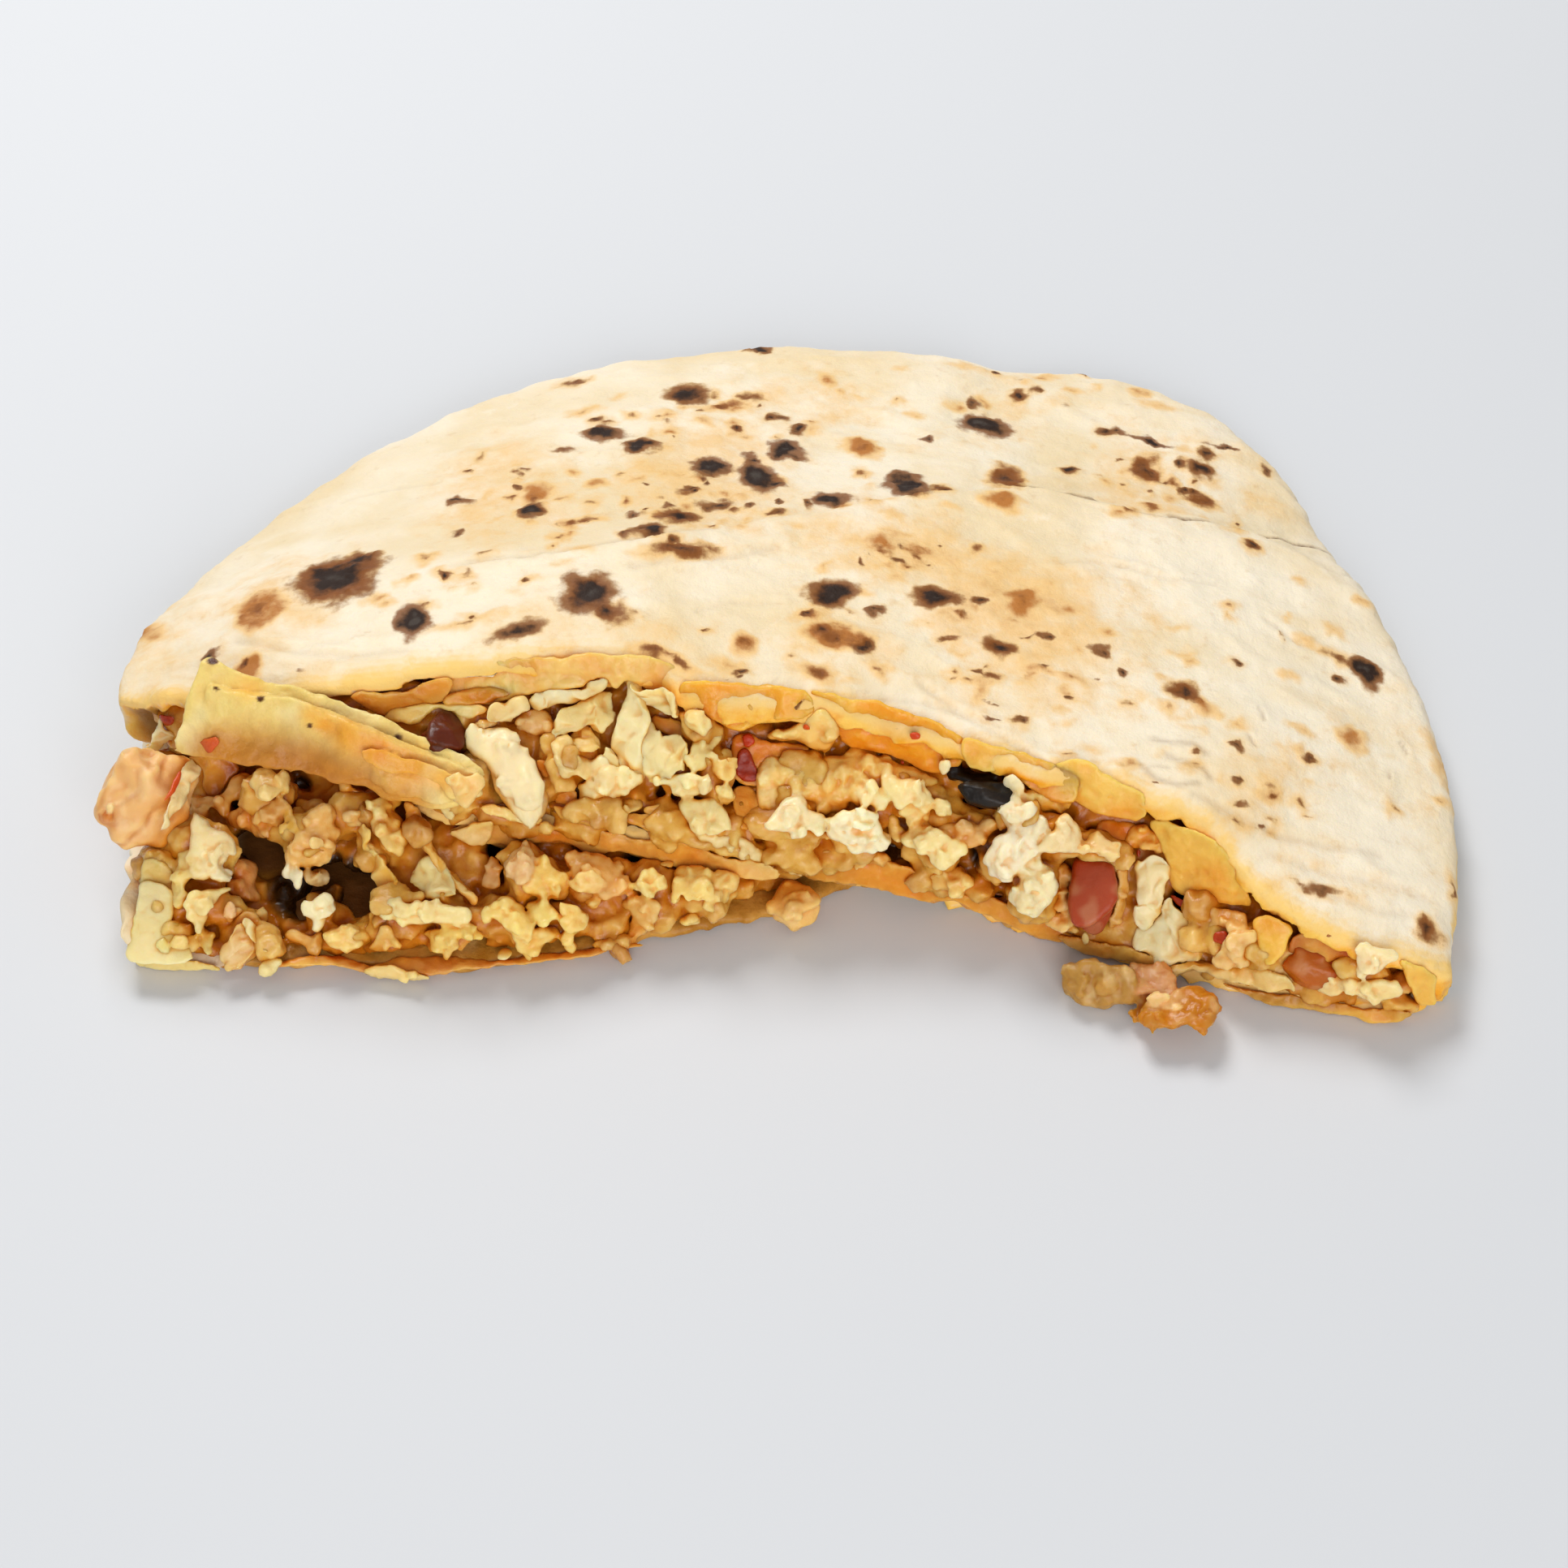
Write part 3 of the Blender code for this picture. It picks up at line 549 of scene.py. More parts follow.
def hollow_share(points):
    """How far each point lies into the hollows that are seen, from 0 to 1, which sets how much painted shade
    it gets.
    """
    hollow_shade = np.zeros(len(points))
    for across, down, wide, deep_mm in HOLLOWS:
        hit = seen_on(solids, across, down)
        if hit is None:
            continue
        way = np.array(sight(across, down))
        offset = points - np.array(hit[0])
        behind = offset @ way
        aside = np.linalg.norm(offset - behind[:, None] * way, axis=1) / (wide * hit[2] * 0.5)
        share = (1 - rise(aside, 0.6, 1.3)) * rise(behind / MM, 0.3, 3.5) * (behind < 18 * MM)
        hollow_shade = np.maximum(hollow_shade, share * min(deep_mm / 6, 1))
    return hollow_shade


naan_tree = tree_of(naan_top)
points, facings = points_of(naan_top), facings_of(naan_top)
facing_up = open_upward(naan_top, points, facings)
char, brown = scorched(points, list(scorch_rows(naan_tree)))
char, brown = char * facing_up, brown * facing_up
depth = below_skin(naan_tree, points)
frontal = rise(-facings[:, 1], 0.0, 0.5)
oiled = rise(depth / MM, 0.4, 2.4) * np.maximum(frontal, in_pocket(naan_tree, points, facings) * 1.0)

# Along each seen crease: a groove pressed into the skin, and a dark line of painted shade in it
crease_shade = np.zeros(len(points))
lift = np.zeros(len(points))
for wide_mm, deep_mm, dark, line in CREASES:
    away = distance_to_line(points, seen_line(naan_tree, line)) / (wide_mm * MM)
    groove = np.exp(-away ** 2)
    crease_shade = np.maximum(crease_shade, dark * np.exp(-(away * 1.6) ** 2))
    lift += CREASE_LIFT * deep_mm * MM * (np.exp(-((away - 1.6) / 1.4) ** 2) - groove)
layer_edge = np.array(seen_line(naan_tree, LAYER_EDGE))
in_front = np.interp(points[:, 0], layer_edge[:, 0], layer_edge[:, 1]) - points[:, 1]
step = LAYER_STEP * rise(in_front / MM, -0.4, 0.5) * (1 - rise(in_front / MM, 3, 16))
lift += step * rise(points[:, 0], layer_edge[0, 0], layer_edge[0, 0] + 0.02)
lift += (wrinkles(points, 9 * MM, 2.0, 3) * 0.4 + wrinkles(points, 3.5 * MM, 1.8, 8) * 0.14) * MM
lift += np.clip(char + brown, 0, 1) * BLISTER * (0.2 + 1.4 * abs(wander(points, 2.2 * MM, 4)[:, 0]))
lift *= facing_up
rim = rim_share(naan_tree, points, facing_up)
ragged = wander(points, 3.2 * MM, 7) * (1.1 * MM * rise(depth / MM, 0.6, 2.0) * frontal)[:, None]
points = points + facings * lift[:, None] + ragged
for across, down, reach_mm, move in PULLS:
    hit = seen_on(naan_tree, across, down)
    if hit is not None:
        points = pulled(points, hit[0], reach_mm * MM, np.array(move) * MM)
points[:, 2] -= PRESSED_SHARE * np.maximum(points[:, 2] - PRESSED_ABOVE, 0)
end_wall = near_seen(points, naan_tree, *SHADED_END, soft=0.4) * (facings[:, 2] < 0.3)
put_points(naan_top, points)
kept_in(naan_top)
painted(naan_top, "char", char)
painted(naan_top, "brown", brown)
painted(naan_top, "oiled", oiled)
# Painted shade on the wall under the left tip and in the hollows, stored together with the creases' painted
# shade
in_shade = np.maximum(0.85 * end_wall, hollow_share(points) * ~facing_up)
painted(naan_top, "crease_shade", np.maximum(crease_shade * facing_up, in_shade))
painted(naan_top, "rim", rim)


def shade(code):
    """A colour of the usual six digits as linear light."""
    parts = [int(code[at:at + 2], 16) / 255 for at in (0, 2, 4)]
    return (*(((part + 0.055) / 1.055) ** 2.4 if part > 0.04 else part / 12.92 for part in parts), 1.0)


class Wire:
    """A shader socket. Arithmetic on it adds Math nodes."""

    def __init__(self, finish, socket):
        self.finish = finish
        self.socket = socket

    def maths(self, operation, *values):
        return self.finish.node("Math", {"operation": operation}, values)

    def __add__(self, other):
        return self.maths("ADD", self, other)

    def __mul__(self, other):
        return self.maths("MULTIPLY", self, other)

    def __sub__(self, other):
        return self.maths("SUBTRACT", self, other)

    def __rsub__(self, other):
        return self.maths("SUBTRACT", other, self)

    def rise(self, low, high, bottom=0.0, top=1.0):
        """A smooth rise from bottom to top as the value goes from low to high."""
        settings = {"interpolation_type": "SMOOTHSTEP"}
        return self.finish.node("MapRange", settings, (self, low, high, bottom, top))


class Finish:
    """A material, built up from nodes. Values that are the same all over are set on its shader."""

    def __init__(self, name, **constant):
        self.material = bpy.data.materials.new(name)
        self.material.use_nodes = True
        self.tree = self.material.node_tree
        self.shader = self.tree.nodes["Principled BSDF"]
        for socket, value in constant.items():
            self.shader.inputs[socket.replace("_", " ")].default_value = value
        self.place = self.node("TexCoord", output="Object")

    def node(self, kind, settings=None, values=(), output=0):
        made = self.tree.nodes.new("ShaderNode" + kind)
        for name, value in (settings or {}).items():
            setattr(made, name, value)
        for key, value in (values.items() if isinstance(values, dict) else enumerate(values)):
            self.join(value, made.inputs[key])
        return Wire(self, made.outputs[output])

    def join(self, value, socket):
        if isinstance(value, Wire):
            self.tree.links.new(value.socket, socket)
        else:
            socket.default_value = value

    def grain(self, size, detail=3.0, rough=0.55, stretch=(1, 1, 1), seed=0.0):
        """Noise with features of about that size in metres."""
        lay = {"Vector": self.place, "Location": (seed, seed, 0), "Scale": stretch}
        place = self.node("Mapping", None, lay)
        settings = {"Vector": place, "Scale": 0.6 / size, "Detail": detail, "Roughness": rough}
        return self.node("TexNoise", None, settings)

    def stored(self, name, colour=False):
        return self.node("Attribute", {"attribute_name": name}, output="Color" if colour else "Fac")

    def blend(self, share, first, second, way="MIX"):
        settings = {"data_type": "RGBA", "blend_type": way, "clamp_factor": True}
        return self.node("Mix", settings, {0: share, 6: first, 7: second}, output=2)

    def finished(self, colour, roughness, height, depth):
        """Joins the colour, roughness and relief to the shader."""
        self.join(colour, self.shader.inputs["Base Color"])
        self.join(roughness, self.shader.inputs["Roughness"])
        bump = self.node("Bump", None, {"Strength": 1.0, "Distance": depth, "Height": height})
        self.join(bump, self.shader.inputs["Normal"])
        return self.material


# How far red, green and blue light travel inside dough, in metres
DOUGH_RADIUS = (0.004, 0.0028, 0.0012)


def naan_finish(name, oil_codes):
    """Baked dough: cream with paler and browner patches, charred where it blistered, oiled inside, with
    painted shade in its creases and hollows.
    """
    bread = Finish(name, Specular_IOR_Level=0.2, Subsurface_Weight=0.1, Subsurface_Radius=DOUGH_RADIUS,
                   Subsurface_Scale=1.0)
    patches = bread.grain(22 * MM, detail=4)
    flour = bread.grain(5 * MM, detail=6, rough=0.65)
    streaks = bread.grain(8 * MM, detail=4, rough=0.55, stretch=(0.5, 1.2, 1.0), seed=0.3)
    blots = bread.grain(2.2 * MM, detail=5, rough=0.6, seed=0.7)
    fine = bread.grain(0.8 * MM, detail=4, seed=0.1)
    char = bread.stored("char") + (blots - 0.5) * 0.5 + (flour - 0.5) * 0.4 + (fine - 0.5) * 0.1
    brown = bread.stored("brown") + (flour - 0.5) * 0.6 + (blots - 0.5) * 0.4
    oiled = bread.stored("oiled") + (blots - 0.5) * bread.stored("oiled") * 0.5
    colour = bread.blend(patches.rise(0.35, 0.62), shade("EFD8AE"), shade("F8E9CE"))
    colour = bread.blend(streaks.rise(0.5, 0.75) * 0.4, colour, shade("EACB92"))
    colour = bread.blend(flour.rise(0.58, 0.76) * 0.5, colour, shade("FFF8EA"))
    colour = bread.blend(blots.rise(0.58, 0.76) * 0.32, colour, shade("D2AE7C"))
    rim = bread.stored("rim") + (flour - 0.5) * 0.9
    colour = bread.blend(rim.rise(0.15, 0.85) * 0.85, colour, shade("F6C660"))
    oil = bread.blend(flour.rise(0.35, 0.65), shade(oil_codes[0]), shade(oil_codes[1]))
    oil = bread.blend(blots.rise(0.55, 0.75) * 0.5, oil, shade(oil_codes[2]))
    colour = bread.blend(oiled.rise(0.1, 0.8), colour, oil)
    colour = bread.blend(brown.rise(0.08, 0.5) * 0.75, colour, shade("F0BE70"))
    colour = bread.blend(brown.rise(0.42, 0.8) * 0.9, colour, shade("B46A20"))
    # Painted shade along the creases, on the wall under the left tip and in the hollows
    colour = bread.blend(bread.stored("crease_shade"), colour, shade("70451F"))
    colour = bread.blend(char.rise(0.25, 0.5) * 0.9, colour, shade("80481A"))
    colour = bread.blend(char.rise(0.5, 0.78), colour, shade("2E1D13"))
    colour = bread.blend(char.rise(0.85, 1.05) * 0.6, colour, shade("524A42"))
    roughness = flour.rise(0.3, 0.7, 0.5, 0.66) - oiled * 0.25 + char.rise(0.5, 0.7) * 0.1
    height = flour * 0.8 + streaks * 0.5 + blots * 0.35 + fine * 0.15 - char.rise(0.4, 0.7) * 0.25
    return bread.finished(colour, roughness, height, 0.8 * MM)


def dressed(piece, material, slot, *nodes):
    """Gives a finished piece its material and files it with the frame."""
    piece.data.materials.clear()
    piece.data.materials.append(material)
    piece.data.shade_smooth()
    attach(piece, "root")
    if nodes:
        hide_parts(*nodes)


naan_crust = naan_finish("naan_crust", ("F0A322", "FBC95C", "E58A12"))
dressed(naan_top, naan_crust, "naan_bread", "bread_upper")

# Lower naan: the sheet that the left part lies on, soaked with oil from the filling. It is the
# same dough, with a ragged front edge and a pale end that curls up.
BASE_FRONT = -45 * MM
naan_base = copied("naan_base", "bread_lower")
remeshed(naan_base, 1.1 * MM, smoothing=5)
subdivided(naan_base, np.array([face.center.y < BASE_FRONT for face in naan_base.data.polygons]))
worked(naan_base, "SMOOTH", factor=0.5, iterations=3)
rough_up(naan_base, size=6 * MM, depth=0.8 * MM, detail=3)
points = points_of(naan_base)
points += wander(points, 4 * MM, 3) * np.array((1.2, 1.2, 0.3)) * MM
points[:, 2] = np.maximum(points[:, 2], LOWEST)
put_points(naan_base, points)
pale_end = rise(-points[:, 0] / MM, 88, 106)
painted(naan_base, "char", np.zeros(len(points)))
# Painted shade where the lower naan lies in the hollows
painted(naan_base, "crease_shade", hollow_share(points))
painted(naan_base, "rim", np.zeros(len(points)))
painted(naan_base, "brown", 0.35 * rise(wander(points, 9 * MM, 5)[:, 0], 0.0, 0.5))
painted(naan_base, "oiled", (1 - 0.9 * pale_end) * (1 - rise(points[:, 1] / MM, 5, 30)))
base_crust = naan_finish("oiled_base", ("AA701E", "CC9440", "8A5414"))
dressed(naan_base, base_crust, "naan_bread", "bread_lower")

# Torn flap: a thin layer of dough, pulled up over the filling at the left. It is pale and dry at
# its top edge, and stained with spiced oil lower down, with painted shade along its lower edge.
FLAP_OUTLINE = (
    "250,813 262,806 275,818 300,830 330,840 370,845 400,853 430,868 460,880 480,893 520,908 560,925 598,948 "
    "600,958 588,982 565,996 540,1000 500,990 455,976 420,964 380,956 340,950 300,943 262,936 230,930 "
    "212,922 212,906 222,890 228,865 238,840")
FLAP_FOLD = "440,918 480,925 520,940 560,952 585,972 572,990 552,984 540,968 505,955 470,950 448,938"
# Patches on the flap: across, down, width and colour. The orange-brown ones along its lower edge are oil
# stains with painted shade.
FLAP_STAINS_AND_SHADE = (
    (305, 848, 18, "F0B850"), (385, 880, 16, "F0B040"), (400, 893, 12, "EAA030"), (262, 928, 30, "B86C10"),
    (300, 936, 40, "C07614"), (350, 944, 42, "B0660E"), (400, 955, 42, "B0640C"), (450, 972, 40, "BC7010"),
    (500, 988, 32, "C87E1C"), (425, 905, 22, "E8961E"), (462, 925, 24, "E58A18"), (505, 945, 26, "E8921E"),
    (545, 962, 18, "EAA23A"), (580, 965, 18, "F2D08C"), (262, 812, 9, "E8C070"))
FLAP_SPECKS = ((267, 847, 4), (321, 860, 5), (382, 893, 4), (490, 909, 6), (262, 811, 8))
# How ragged a seen outline is made, in pixels, and how fast a seen patch may fall away
RAGGED_PIXELS = 1.6
STEEPEST = 0.75


def seen_spots(outline):
    """A seen outline with its corners doubled twice, made a little ragged."""
    spots = np.array([[float(number) for number in spot.split(",")] for spot in outline.split()])
    for _ in range(2):
        after = np.roll(spots, -1, axis=0)
        spots = np.stack((0.78 * spots + 0.22 * after, 0.22 * spots + 0.78 * after), axis=1).reshape(-1, 2)
    shift = [noise.noise_vector(Vector((across / 8, down / 8, 0)))[:2] for across, down in spots]
    return spots + RAGGED_PIXELS * np.array(shift)


def lay_of(tree, spots):
    """How far off a seen patch lies at its middle, and how that changes with each pixel."""
    middle = spots.mean(axis=0)
    samples = np.vstack((spots[::2], 0.6 * spots[::2] + 0.4 * middle, [middle]))
    ways = [sight(*spot) for spot in samples]
    away = np.array([tree.ray_cast(camera.location, way)[3] or -camera.location.z / way.z for way in ways])
    away = np.clip(away, np.median(away) - 5 * MM, np.median(away) + 5 * MM)
    terms = np.column_stack((np.ones(len(samples)), samples - middle))
    plane = np.linalg.lstsq(terms, away, rcond=None)[0]
    pixel = plane[0] / FOCUS
    return middle, plane[0], np.clip(plane[1:] / pixel, -STEEPEST, STEEPEST) * pixel


def inside(spots, across, down):
    """Whether a pixel lies inside a seen outline."""
    after = np.roll(spots, -1, axis=0)
    crossed = (spots[:, 1] > down) != (after[:, 1] > down)
    reach = (after[:, 0] - spots[:, 0]) * (down - spots[:, 1]) / (after[:, 1] - spots[:, 1] + 1e-9)
    return (crossed & (across < reach + spots[:, 0])).sum() % 2 == 1


# The rings that close a shape over its outline: each one's share of the outline's size, and how far it
# stands out in thicknesses
CURD_RINGS = ((0.6, -0.8), (0.95, -0.45), (1.0, -0.15), (0.9, 0.15), (0.6, 0.3), (0.25, 0.35))
SHEET_RINGS = ((0.98, -0.5), (1.0, 0.0), (0.98, 0.5))
BACKED_RINGS = ((0.8, -2.2), (0.97, -0.5), (1.0, 0.0), (0.98, 0.5))


def add_seen(heap, row, tree, rings=CURD_RINGS, thick_mm=None, knobs=0.0):
    """Adds a closed shape with a seen outline, and knobs over the front of it."""
    code, lift_mm, outline = row
    spots = seen_spots(outline)
    middle, base, slopes = lay_of(tree, spots)
    pixel = base / FOCUS
    side = np.roll(spots, -1, axis=0)
    area = abs((spots[:, 0] * side[:, 1] - spots[:, 1] * side[:, 0]).sum()) / 2 * pixel * pixel
    thick = thick_mm * MM if thick_mm else np.clip(0.5 * math.sqrt(area), 1.4 * MM, 4.5 * MM)

    def placed(spot, high):
        away = base + (spot - middle) @ slopes - lift_mm * MM - high * thick
        return camera.location + sight(*spot) * away

    places = []
    for share, high in rings:
        places += [list(placed(spot, high)) for spot in middle + (spots - middle) * share]
    many = len(spots)
    faces = [list(range(many))[::-1], list(range(len(places) - many, len(places)))]
    for start in range(0, len(places) - many, many):
        for one in range(many):
            after = (one + 1) % many
            faces.append([start + one, start + after, start + many + after, start + many + one])
    heap.add(places, faces, shade(code))
    lowest, highest = spots.min(axis=0), spots.max(axis=0)
    for _ in range(int(knobs * area / (MM * MM))):
        spot = np.array([heap.draw.uniform(low, high) for low, high in zip(lowest, highest)])
        depths = [share for share in (1.0, 0.8, 0.5) if inside(middle + (spots - middle) * share, *spot)]
        if depths:
            high = {1.0: -0.15, 0.8: 0.15, 0.5: 0.3}[depths[-1]]
            tint = np.clip(np.array(shade(code)) * heap.draw.uniform(0.85, 1.12), 0, 1)
            heap.add_knob(placed(spot, high), heap.draw.uniform(0.8, 1.7) * MM, tint)


def curd_shape():
    """One knob of curd: a rounded ball with dents."""
    bpy.ops.mesh.primitive_ico_sphere_add(subdivisions=2, radius=1.0)
    ball = bpy.context.object
    for point in ball.data.vertices:
        point.co *= 1 + 0.55 * noise.noise(point.co * 1.7 + Vector((4, 2, 1)))
    shape = points_of(ball)
    faces = np.array([list(face.vertices) for face in ball.data.polygons])
    bpy.data.objects.remove(ball)
    return shape, faces


TINT_SOFTNESS = 0.25 * MM


class Heap:
    """Closed shapes that are gathered into one mesh, each with its own colour."""

    def __init__(self, seed):
        self.draw = random.Random(seed)
        self.places, self.faces, self.tints = [], [], []
        self.count = 0

    def add(self, places, faces, tint):
        """Adds one closed shape in one colour."""
        self.places.append(np.asarray(places, float))
        self.faces += [[self.count + corner for corner in face] for face in faces]
        self.tints.append(np.tile(np.array(tint), (len(places), 1)))
        self.count += len(places)

    def add_knob(self, centre, size, tint):
        """A dented ball, squashed a little and turned at random."""
        draw = self.draw
        turn = np.array(Euler([draw.uniform(0, 6.3) for _ in range(3)]).to_matrix())
        squash = np.array([size * draw.uniform(0.6, 1.35) for _ in range(3)])
        self.add(knob_points * squash @ turn.T + np.array(centre), knob_faces, tint)

    def piece(self, name):
        """The gathered shapes as one piece."""
        mesh = bpy.data.meshes.new(name)
        mesh.from_pydata(np.vstack(self.places).tolist(), [], self.faces)
        made = bpy.data.objects.new(name, mesh)
        bpy.context.scene.collection.objects.link(made)
        return made

    def tint_at(self, points):
        """Each point's colour, from the nearest points of the shapes that were gathered."""
        every, tints = np.vstack(self.places), np.vstack(self.tints)
        found = kdtree.KDTree(len(every))
        for number, place in enumerate(every):
            found.insert(place, number)
        found.balance()
        made = np.zeros((len(points), 4))
        for index, point in enumerate(points):
            near = found.find_n(point, 5)
            weights = np.array([1 / (distance + TINT_SOFTNESS) ** 2 for _, _, distance in near])
            nearest = tints[[number for _, number, _ in near]]
            made[index] = (nearest * weights[:, None]).sum(0) / weights.sum()
        return made


knob_points, knob_faces = curd_shape()

flap_heap = Heap(3)
add_seen(flap_heap, ("F8DF9E", 1.4, FLAP_OUTLINE), solids, SHEET_RINGS, 1.3)
add_seen(flap_heap, ("F8DF9E", 1.7, FLAP_FOLD), solids, SHEET_RINGS, 1.1)
naan_flap = joined(copied("naan_flap", "bread_flap"), flap_heap.piece("flap_outline"))
remeshed(naan_flap, 0.42 * MM, smoothing=4)
rough_up(naan_flap, size=9 * MM, depth=1.2 * MM)
rough_up(naan_flap, size=3 * MM, depth=0.4 * MM)
flap_tree = tree_of(naan_flap)
points = points_of(naan_flap)
points += wander(points, 6 * MM, 2) * 0.9 * MM + wander(points, 2 * MM, 6) * 0.3 * MM
put_points(naan_flap, points)


def tinted(colours, share, code):
    """Mixes a colour into the painted ones."""
    return colours + (np.array(shade(code)) - colours) * np.asarray(share)[:, None]


colours = np.tile(np.array(shade("ECCB78")), (len(points), 1))
pale = wander(points, 6 * MM, 2)[:, 0]
colours = tinted(colours, 0.5 * rise(pale, 0.0, 0.5), "F6E3AC")
for across, down, wide, code in FLAP_STAINS_AND_SHADE:
    colours = tinted(colours, near_seen(points, flap_tree, across, down, wide, 0.8) * 0.85, code)
for across, down, wide in FLAP_SPECKS:
    colours = tinted(colours, near_seen(points, flap_tree, across, down, wide, 0.25), "4A2410")
painted(naan_flap, "tint", colours)

oiled_dough = Finish("oiled_dough", Specular_IOR_Level=0.2, Subsurface_Weight=0.18,
                     Subsurface_Radius=DOUGH_RADIUS, Subsurface_Scale=1.0)
cloudy = oiled_dough.grain(3.5 * MM, detail=4)
fine = oiled_dough.grain(1.2 * MM, detail=4, seed=0.2)
stained = oiled_dough.stored("tint", colour=True)
colour = oiled_dough.blend(cloudy.rise(0.5, 0.75) * 0.14, stained, shade("E8B860"))
colour = oiled_dough.blend(fine.rise(0.35, 0.7) * 0.25, colour, shade("FFF6DE"), way="SOFT_LIGHT")
oiled_dough.finished(colour, cloudy.rise(0.3, 0.7, 0.26, 0.48), fine + cloudy * 0.6, 0.45 * MM)
kept_in(naan_flap)
dressed(naan_flap, oiled_dough.material, "oiled_bread", "bread_flap")

# Filling: paneer crumbled like scrambled curd, cooked with oil and spices, in two beds. Each bed is
# the solid's own core, a packed layer over what can be seen of it, and hollows between, darkened with painted
# shade.
BED_CODES = ("DAAE56", "D0A048", "E4BE6C", "C48E3A", "DCB260")
